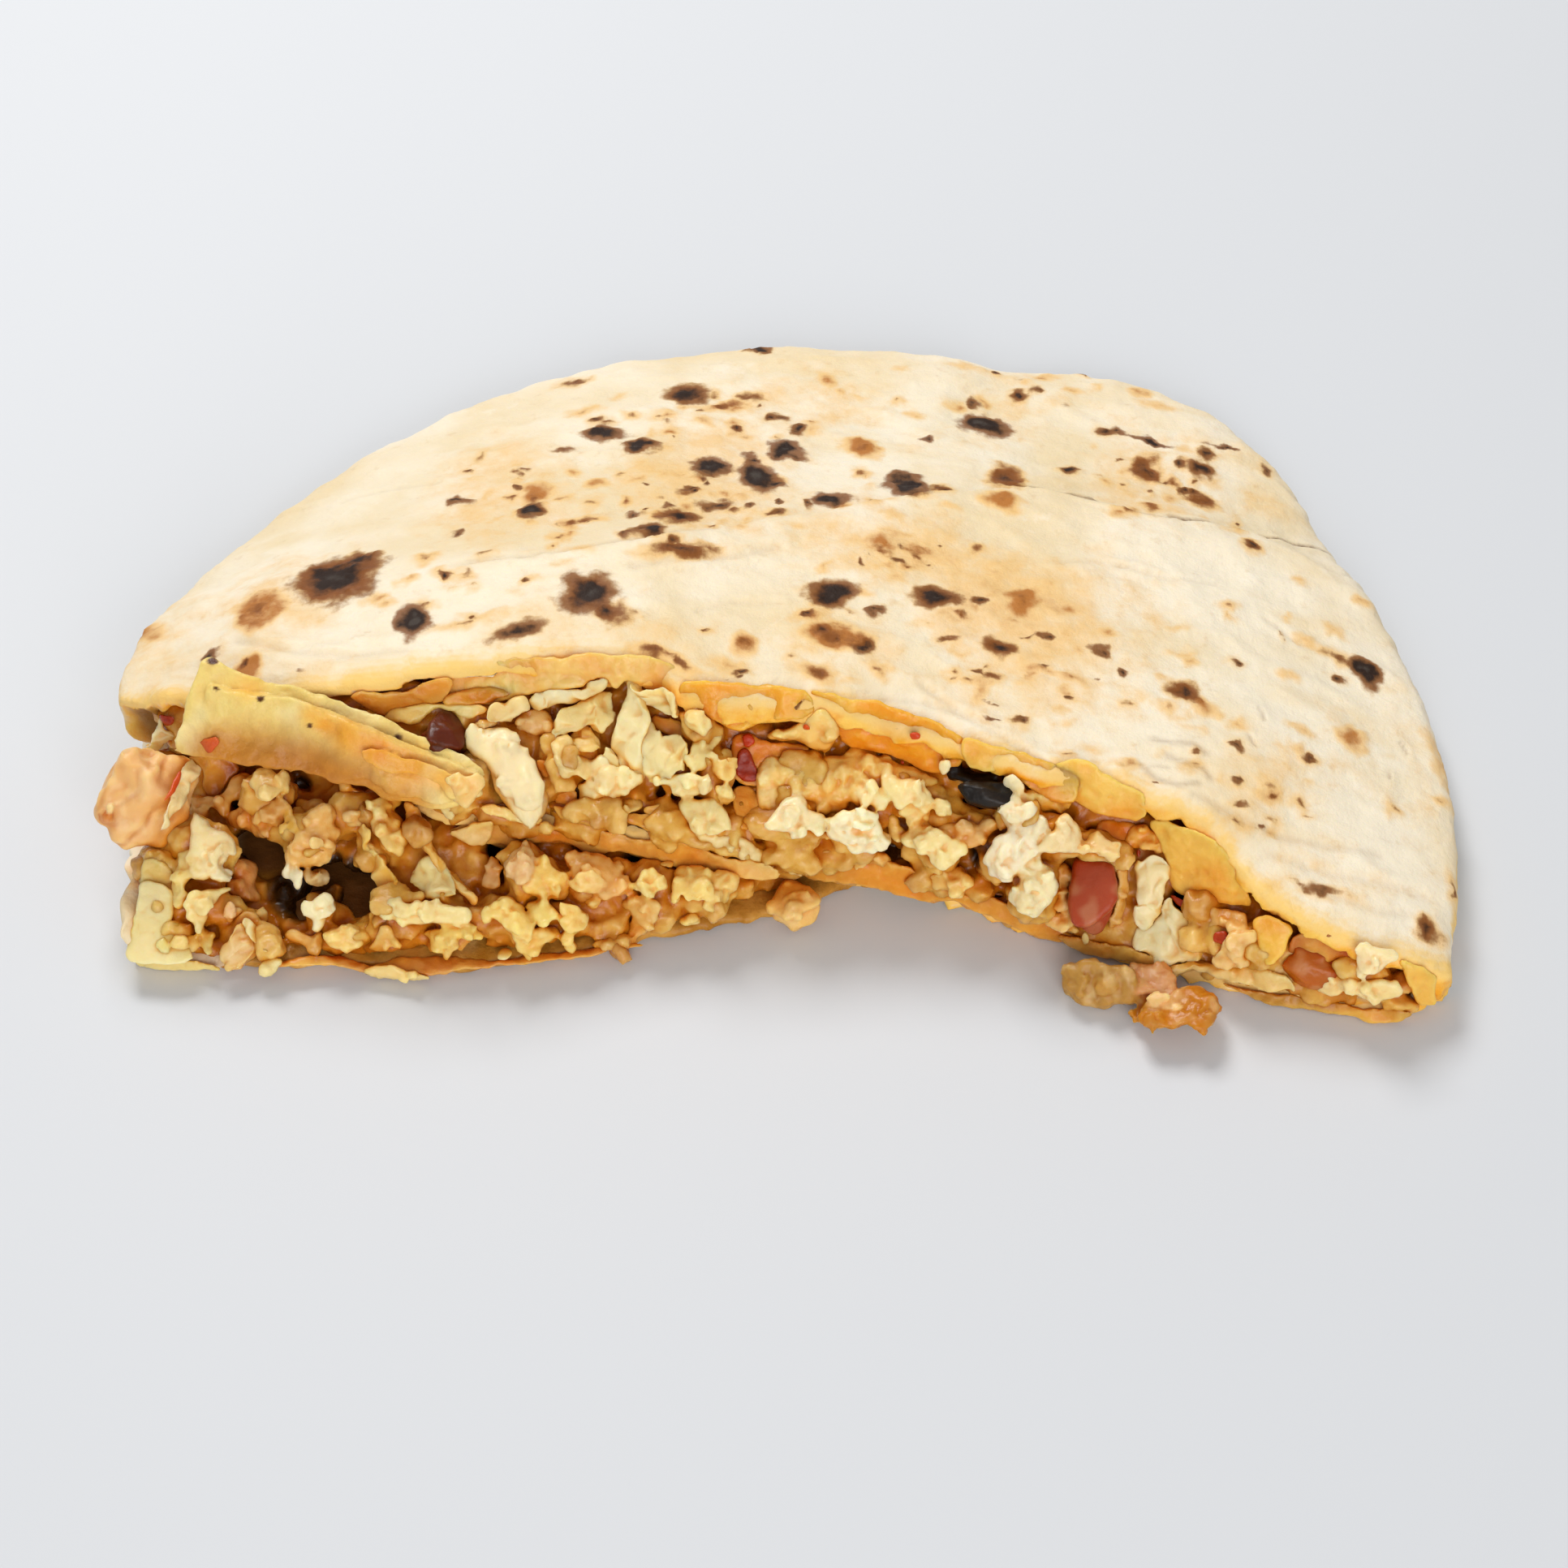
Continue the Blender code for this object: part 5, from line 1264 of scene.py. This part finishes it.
def filling_bed(name, node, blockers, seed):
    """A bed of filling: the core, with hollows, and a packed layer over its left and its right half."""
    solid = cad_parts[node]
    tree = tree_of(solid)
    core = remeshed(copied(name, node), 1.5 * MM, smoothing=3)
    worked(core, "DISPLACE", strength=-CORE_INSET, mid_level=0.0)
    halves = (Heap(seed), Heap(seed + 20))
    hollows = [(seen_on(tree, across, down), wide) for across, down, wide, _ in HOLLOWS]
    found = exposed_places(solid, blockers, CRUMB_SPACING, random.Random(seed))
    middle = sorted(place.x for place, _ in found)[len(found) // 2]
    for place, facing in found:
        if any(hit and (place - hit[0]).length < wide * hit[2] * 0.5 for hit, wide in hollows):
            continue
        heap = halves[place.x > middle]
        size = heap.draw.choice(CRUMB_SIZES_MM) * heap.draw.uniform(0.85, 1.15) * MM
        heap.add_knob(place - facing * (size * 0.95 + 0.2 * MM), size, shade(heap.draw.choice(BED_CODES)))
    packed = []
    for heap, side in zip(halves, ("left", "right")):
        crumbs = remeshed(heap.piece(f"{name}_{side}"), CRUMB_VOXEL, smoothing=5)
        rough_up(crumbs, size=2.8 * MM, depth=-0.7 * MM, kind="VORONOI")
        rough_up(crumbs, size=1.6 * MM, depth=0.4 * MM)
        painted(crumbs, "tint", heap.tint_at(points_of(crumbs)))
        packed.append(crumbs)
    painted(core, "tint", np.tile(np.array(shade(BED_CODES[1])), (len(core.data.vertices), 1)))
    points = points_of(core)
    for across, down, wide, deep_mm in HOLLOWS:
        hit = seen_on(tree, across, down)
        if hit is not None:
            away = np.linalg.norm(points - np.array(hit[0]), axis=1) / (wide * hit[2] * 0.75)
            points += (1 - rise(away, 0.3, 1.2))[:, None] * np.array(sight(across, down)) * deep_mm * MM
    put_points(core, points)
    return joined(core, packed[0]), packed[1]


def seen_curds(name, rows, seed):
    """The curds that are seen, run together where they touch, with knobs all over them."""
    heap = Heap(seed)
    for row in rows:
        add_seen(heap, row, solids, knobs=0.32)
    curds = remeshed(heap.piece(name), 0.34 * MM, smoothing=4)
    rough_up(curds, size=3.2 * MM, depth=-0.7 * MM, kind="VORONOI")
    rough_up(curds, size=1.6 * MM, depth=0.35 * MM)
    painted(curds, "tint", heap.tint_at(points_of(curds)))
    return curds


blockers = tree_of(naan_top, naan_base, naan_flap)
upper_filling = filling_bed("filling_upper_storey", "filling_upper", blockers, 11)
lower_filling = filling_bed("filling_lower_storey", "filling_lower", blockers, 12)
upper_curds = seen_curds("upper_curds", UPPER_CURDS, 13)
lower_curds = seen_curds("lower_curds", LOWER_CURDS, 14)


def seen_sheets(name, rows, thick_mm, wave_mm, warm, pale="FFF2CE", voxel_mm=0.36, stand=1.0):
    """One mesh of many thin sheets, each remeshed, waved and painted in its own colour."""
    made = []
    for code, lift_mm, outline in rows:
        heap = Heap(1)
        add_seen(heap, (code, stand * lift_mm, outline), solids, BACKED_RINGS, thick_mm)
        one = remeshed(heap.piece(name), voxel_mm * MM, smoothing=2)
        colours = np.tile(np.array(shade(code)), (len(one.data.vertices), 1))
        cells = wander(points_of(one), 8 * MM, 2)
        colours = tinted(colours, 0.6 * rise(cells[:, 0], -0.1, 0.6), warm)
        colours = tinted(colours, 0.5 * rise(cells[:, 1], -0.1, 0.6), pale)
        painted(one, "tint", colours)
        made.append(one)
    sheets = joined(*made)
    points = points_of(sheets)
    waves = wander(points, 5 * MM, 3) * wave_mm * MM + wander(points, 1.8 * MM, 5) * 0.4 * wave_mm * MM
    points += waves
    put_points(sheets, points)
    rough_up(sheets, size=1.4 * MM, depth=0.3 * MM)
    return sheets


dough_layers = seen_sheets("oiled_dough_layers", LAYERS, 1.2, 0.7, "EE981C", pale="FACE6C", stand=0.6)
flakes = seen_sheets("cabbage_flakes", FLAKES, 0.8, 1.6, "F0D08C", stand=1.25)
curled_end = seen_sheets("curled_end", END_WALL, 1.3, 0.5, "E6D27C")
pepper_bits = seen_sheets("pepper_bits", PEPPER_BITS, 0.9, 0.4, "D8501C", pale="C03C14", voxel_mm=0.3)


CURD_RADIUS = (0.0036, 0.0026, 0.0012)
FOOD_RELIEF = 0.18 * MM


def oily_finish(name, mottle="F4CC74", roughness=0.26, pale="FFF6DE", creased=0.4):
    """Food in spiced oil: pale on its knobs, yellow with oil and painted shade in its creases, painted shade
    going yellow and then orange-brown where little light reaches it, a warm tint that is stronger there, and
    dark brown to near black painted shade in the hollows.
    """
    food = Finish(name, Specular_IOR_Level=0.28, Subsurface_Weight=0.55, Subsurface_Radius=CURD_RADIUS,
                  Subsurface_Scale=1.0)
    dent = food.stored("dent")
    hollow_shade = food.stored("hollow_shade")
    cloudy = food.grain(4 * MM, detail=3)
    fine = food.grain(0.8 * MM, detail=4, seed=0.2)
    # How much light reaches each point, with noise: the less, the more painted shade below
    light_reach = food.stored("free") + (cloudy - 0.5) * 0.35
    colour = food.blend(cloudy.rise(0.5, 0.72) * 0.3, food.stored("tint", colour=True), shade(mottle))
    colour = food.blend((1 - dent.rise(0.1, 0.45)) * 0.12, colour, shade(pale))
    # Yellow oil with painted shade in the creases
    colour = food.blend(dent.rise(0.55, 1.0) * creased, colour, shade("F8C858"), way="MULTIPLY")
    # Painted shade where little light reaches: yellow, then orange-brown
    colour = food.blend((1 - light_reach.rise(0.2, 0.8)) * 0.9, colour, shade("F0BA48"), way="MULTIPLY")
    colour = food.blend((1 - light_reach.rise(0.0, 0.36)) * 0.62, colour, shade("8A4C08"))
    # Painted shade in the seen hollows: dark brown, and near black where they lie farthest in
    colour = food.blend(hollow_shade.rise(0.05, 0.5) * 0.85, colour, shade("4E2C0E"))
    colour = food.blend(hollow_shade.rise(0.5, 0.9) * 0.9, colour, shade("1A1008"))
    # A warm yellow tint all over, stronger in the painted shade where little light reaches
    colour = food.blend(1.0 - light_reach.rise(0.3, 0.9) * 0.5, colour, shade("FAE3A6"), way="MULTIPLY")
    uneven = cloudy.rise(0.3, 0.7, roughness - 0.08, roughness + 0.1)
    return food.finished(colour, uneven, fine + cloudy * 0.5, FOOD_RELIEF)


paneer_curd = oily_finish("paneer_curd")
oiled_layers = oily_finish("oiled_layers", mottle="F2B040", roughness=0.3, pale="FBE3A4", creased=0.25)
cabbage_shreds = oily_finish("cabbage_shreds", mottle="F4E0A8", roughness=0.34)
pepper_skin = oily_finish("pepper_skin", mottle="A03010", roughness=0.3, pale="D86A3A")
shade_tree = tree_of(naan_top, naan_base, naan_flap, *upper_filling, *lower_filling,
                     upper_curds, lower_curds, dough_layers, flakes)


def joined_points(piece):
    """The two ends of every edge, as point numbers."""
    ends = np.zeros(len(piece.data.edges) * 2, np.int32)
    piece.data.edges.foreach_get("vertices", ends)
    return ends.reshape(-1, 2).T


def averaged(values, first, second):
    """Each point's value averaged with those of the points that it is joined to."""
    total, count = values.copy(), np.ones(len(values))
    np.add.at(total, first, values[second])
    np.add.at(total, second, values[first])
    np.add.at(count, first, 1)
    np.add.at(count, second, 1)
    return total / count


def dents(piece):
    """How each point's surface bends: 0 on a small knob, near a half where flat and 1 where it folds inward;
    it sets the yellow oil and painted shade in the creases.
    """
    first, second = joined_points(piece)
    points, facings = points_of(piece), facings_of(piece)
    way = points[second] - points[first]
    squared = (way * way).sum(axis=1) + 1e-12
    bend, count = np.zeros(len(points)), np.zeros(len(points))
    np.add.at(bend, first, 2 * (way * facings[first]).sum(axis=1) / squared)
    np.add.at(bend, second, -2 * (way * facings[second]).sum(axis=1) / squared)
    np.add.at(count, first, 1)
    np.add.at(count, second, 1)
    bend = bend / np.maximum(count, 1) * MM
    for _ in range(2):
        bend = averaged(bend, first, second)
    return rise(bend, -0.9, 0.9)


# How far, and along how many rays, each point's openness is sought for the painted shade
REACH = 9 * MM
RAYS = 12


def finished_food(piece, finish, slot, *nodes, least=0.0):
    """Stores how free, how bent and how far into the hollows each point of a piece lies, which set its
    painted shade, and files it.
    """
    kept_in(piece)
    points = points_of(piece)
    free = openness(points, facings_of(piece), shade_tree, REACH, RAYS)
    first, second = joined_points(piece)
    for _ in range(4):
        free = averaged(free, first, second)
    # Openness is cut near the floor, so the painted shade grows darker towards the bottom
    painted(piece, "free", np.maximum(free, least) * (0.7 + 0.3 * rise(points[:, 2] / MM, 1, 13)))
    painted(piece, "dent", dents(piece))
    painted(piece, "hollow_shade", hollow_share(points))
    dressed(piece, finish, slot, *nodes)


for piece in (*upper_filling, upper_curds):
    finished_food(piece, paneer_curd, "paneer_filling", "filling_upper")
for piece in (*lower_filling, lower_curds):
    finished_food(piece, paneer_curd, "paneer_filling", "filling_lower")
finished_food(dough_layers, oiled_layers, "oiled_bread", least=0.5)
finished_food(flakes, cabbage_shreds, "cabbage", least=0.4)
finished_food(curled_end, cabbage_shreds, "oiled_bread", least=0.5)
finished_food(pepper_bits, pepper_skin, "tomato")

# Larger pieces in the filling: browned paneer, a white piece of paneer, mushroom, charred onion
# and tomato. Each is its solid with the seen outlines pressed over it, in the colours of its kind.
BLOCK_RINGS = ((0.9, -0.8), (1.0, -0.5), (1.0, 0.1), (0.93, 0.25), (0.8, 0.3))
RIDGE_DEPTH = 0.22 * MM
# The piece, its solid, its slot, the mesh's spacing in mm, the knobs to a square mm, the relief and the
# inset of the solid in mm, the rings and the seen outlines
CHUNKS = (
    ("browned_paneer", "browned_chunk", "browned_paneer", 0.5, 0.0, 0.5, 0.0, CURD_RINGS, (
        ("EBBF88", 0.6, "116,989 126,966 141,957 159,948 182,934 200,928 226,931 240,936 247,950 240,970 "
         "235,983 229,1007 217,1019 211,1036 197,1048 179,1042 167,1042 153,1048 141,1042 132,1024 "
         "122,1013 120,1001"),
        ("C87A34", 1.6, "124,1006 135,1000 141,1008 136,1018 126,1014"),
        ("F2CFA2", 1.8, "128,994 138,990 142,998 134,1002"))),
    ("white_paneer", "paneer_piece", "pale_paneer", 0.4, 0.2, 0.5, 0.0, CURD_RINGS, (
        ("F6EBCE", 1.4, "575,907 584,901 599,898 613,894 625,896 637,907 643,922 651,928 660,937 663,951 "
         "672,963 669,978 669,995 651,1001 634,995 634,983 622,983 613,975 613,960 604,951 596,939 578,928 "
         "577,916"),)),
    ("mushroom", "mushroom_piece", "mushroom", 0.4, 0.0, 0.4, 0.0, CURD_RINGS, (
        ("5E2208", 1.2, "523,905 528,888 540,878 550,874 562,880 572,893 575,915 570,925 555,922 540,918 "
         "525,915"),)),
    ("black_onion", "charred_onion", "charred_onion", 0.36, 0.25, 0.5, 0.0, CURD_RINGS, (
        ("17100C", 0.8, "1168,958 1176,941 1188,950 1206,951 1223,950 1238,955 1235,973 1223,986 1209,985 "
         "1197,970 1182,963"),)),
    ("tomato_cube", "tomato_piece", "tomato", 0.4, 0.0, 0.3, 1.2, BLOCK_RINGS, (
        ("A8482C", 1.6, "1321,1067 1324,1057 1341,1058 1358,1060 1373,1064 1376,1084 1378,1107 1371,1121 "
         "1354,1134 1344,1143 1324,1143 1317,1128 1315,1101 1321,1080"),)),
    ("tomato_wedge", "tomato_slice", "tomato", 0.4, 0.0, 0.4, 0.0, BLOCK_RINGS, (
        ("B4600F", 0.2, "1590,1160 1604,1148 1640,1152 1650,1170 1630,1186 1600,1184"),)),
    ("dropped_filling", "spilled_filling", "spiced_oil", 0.36, 0.15, 1.4, 2.4, BLOCK_RINGS, (
        ("B88E48", 0.4, "1307,1209 1314,1192 1331,1185 1348,1182 1358,1188 1395,1192 1402,1210 1402,1239 "
         "1378,1232 1364,1243 1351,1243 1321,1232 1310,1222"),
        ("D8A47C", 0.8, "1390,1192 1429,1188 1446,1195 1452,1222 1446,1230 1420,1222 1398,1226"),
        ("C07C12", 0.6, "1398,1256 1408,1243 1415,1232 1442,1224 1452,1219 1476,1212 1500,1226 1501,1243 "
         "1493,1266 1476,1270 1459,1259 1446,1270 1422,1263 1412,1263"),
        ("F0D09C", 2.4, "1412,1229 1422,1222 1439,1222 1442,1231 1429,1236 1415,1238"))),
    ("dropped_curd", "fallen_curd", "paneer_filling", 0.4, 0.3, 0.5, 0.6, CURD_RINGS, (
        ("EFC682", 0.6, "949,1120 953,1102 968,1079 983,1085 1000,1093 1014,1105 1009,1117 992,1123 "
         "980,1131 968,1137 953,1126"),)),
)
for name, node, slot, voxel_mm, knobs, relief_mm, inset_mm, rings, rows in CHUNKS:
    own_tree = tree_of(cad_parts[node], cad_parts["filling_upper"])
    heap = Heap(7)
    for row in rows:
        add_seen(heap, row, own_tree, rings, knobs=knobs)
    own_form = copied(name, node)
    if inset_mm:
        worked(own_form, "DISPLACE", strength=-inset_mm * MM, mid_level=0.0)
    piece = joined(own_form, heap.piece(name + "_outlines"))
    remeshed(piece, voxel_mm * MM, smoothing=3)
    rough_up(piece, size=2.4 * MM, depth=relief_mm * MM)
    points, facings = points_of(piece), facings_of(piece)
    if name == "browned_paneer":
        across_mm = (points[:, 0] * 0.8 - points[:, 2] * 0.6) / MM
        ridges = np.sin(across_mm * 1.5 + 4 * wander(points, 4 * MM)[:, 0])
        put_points(piece, points + facings * (ridges * RIDGE_DEPTH)[:, None])
    colours = heap.tint_at(points)
    if name == "browned_paneer":
        colours = tinted(colours, 0.4 * rise(-ridges, 0.0, 1.0), "BE7636")
    cells = wander(points, 3 * MM, 2)
    patch = "3A2C20" if slot in ("charred_onion", "mushroom") else "FFF0C8"
    patched = 0.12 if slot == "tomato" else 0.3
    colours = tinted(colours, patched * rise(cells[:, 0], 0.0, 0.4), patch)
    painted(piece, "tint", colours)
    own_code = rows[0][0]
    finish = oily_finish(name + "_finish", mottle=own_code, roughness=0.36, pale=own_code)
    finished_food(piece, finish, slot, node)

# Thin pieces: shreds of cabbage and petals of onion that lie over the filling. Each is a waved sheet
# of the outline that is seen, where its solid stands.
# The piece, its solid, its slot, the thickness in mm and the seen outlines
THIN_PIECES = (
    ("onion_fold", "onion_petal", "pale_onion", 1.0, (
        ("F3E8C8", 1.5, "1402,1057 1419,1057 1435,1060 1442,1074 1437,1101 1429,1118 1419,1141 1412,1150 "
         "1398,1148 1398,1124 1402,1091"),
        ("EFE6CA", 1.4, "1397,1145 1412,1146 1422,1138 1429,1118 1439,1101 1449,1114 1462,1121 1473,1124 "
         "1469,1134 1479,1145 1488,1165 1484,1178 1476,1184 1456,1182 1439,1185 1432,1192 1425,1182 "
         "1419,1173 1402,1168 1395,1167"))),
    ("onion_shred", "onion_strip", "cabbage", 0.9, (
        ("E8C888", 1.2, "1429,1185 1476,1182 1517,1188 1557,1195 1591,1209 1598,1219 1584,1222 1550,1216 "
         "1517,1205 1476,1199 1435,1199"),)),
    ("cabbage_ribbon", "cabbage_band", "cabbage", 0.9, (
        ("F6C45C", 3.6, "438,1016 449,1010 455,1021 461,1045 472,1065 484,1086 502,1103 493,1115 481,1109 "
         "467,1092 452,1068 443,1039"),)),
    ("cabbage_curl", "cabbage_fold", "cabbage", 0.9, (
        ("F2B650", 3.6, "499,985 514,1002 525,1025 535,1045 550,1062 570,1085 588,1102 580,1110 560,1092 "
         "540,1074 520,1050 508,1025 497,1000"),)),
    ("cabbage_sheet", "cabbage_leaf", "cabbage", 0.9, (
        ("F8E8C0", 3.2, "758,919 757,901 766,878 775,857 777,843 775,831 798,846 804,878 798,893 795,915 "
         "800,940 798,960 786,956 763,955 757,937"),
        ("F8EAC6", 3.2, "742,928 750,915 758,930 764,950 770,968 752,986 738,990 730,970 736,950"))),
)
for name, node, slot, thick_mm, rows in THIN_PIECES:
    piece = seen_sheets(name, rows, thick_mm, 1.6, "F0D08C")
    finish = oily_finish(name + "_finish", mottle="F2DDA8", roughness=0.3)
    finished_food(piece, finish, slot, node, least=0.4)

# Studio: a plain pale floor, a large soft light behind and above, and a wide one in front, under an
# even and faintly blue sky.
floor_shade = Finish("floor_shade", Base_Color=shade("D4D5D7"), Roughness=0.6)
bpy.ops.mesh.primitive_plane_add(size=6.0, location=(0, 0, -0.2 * MM))
floor = bpy.context.object
floor.name = "floor"
floor.data.materials.append(floor_shade.material)


def area_light(name, place, size, power):
    """A square light that points at the middle of the frame."""
    light = bpy.data.objects.new(name, bpy.data.lights.new(name, "AREA"))
    light.data.size = size
    light.data.energy = power
    light.location = place
    light.rotation_euler = (-Vector(place)).to_track_quat("-Z", "Y").to_euler()
    bpy.context.scene.collection.objects.link(light)


area_light("key_light", (-0.32, 0.76, 1.0), 0.5, 11.6)
area_light("front_light", (0.15, -1.25, 0.62), 0.9, 12.0)
world = bpy.data.worlds.new("studio")
world.use_nodes = True
sky = world.node_tree.nodes["Background"].inputs
sky["Color"].default_value = (0.94, 0.97, 1, 1)
sky["Strength"].default_value = 0.39
bpy.context.scene.world = world
bpy.context.scene.view_settings.view_transform = "Standard"
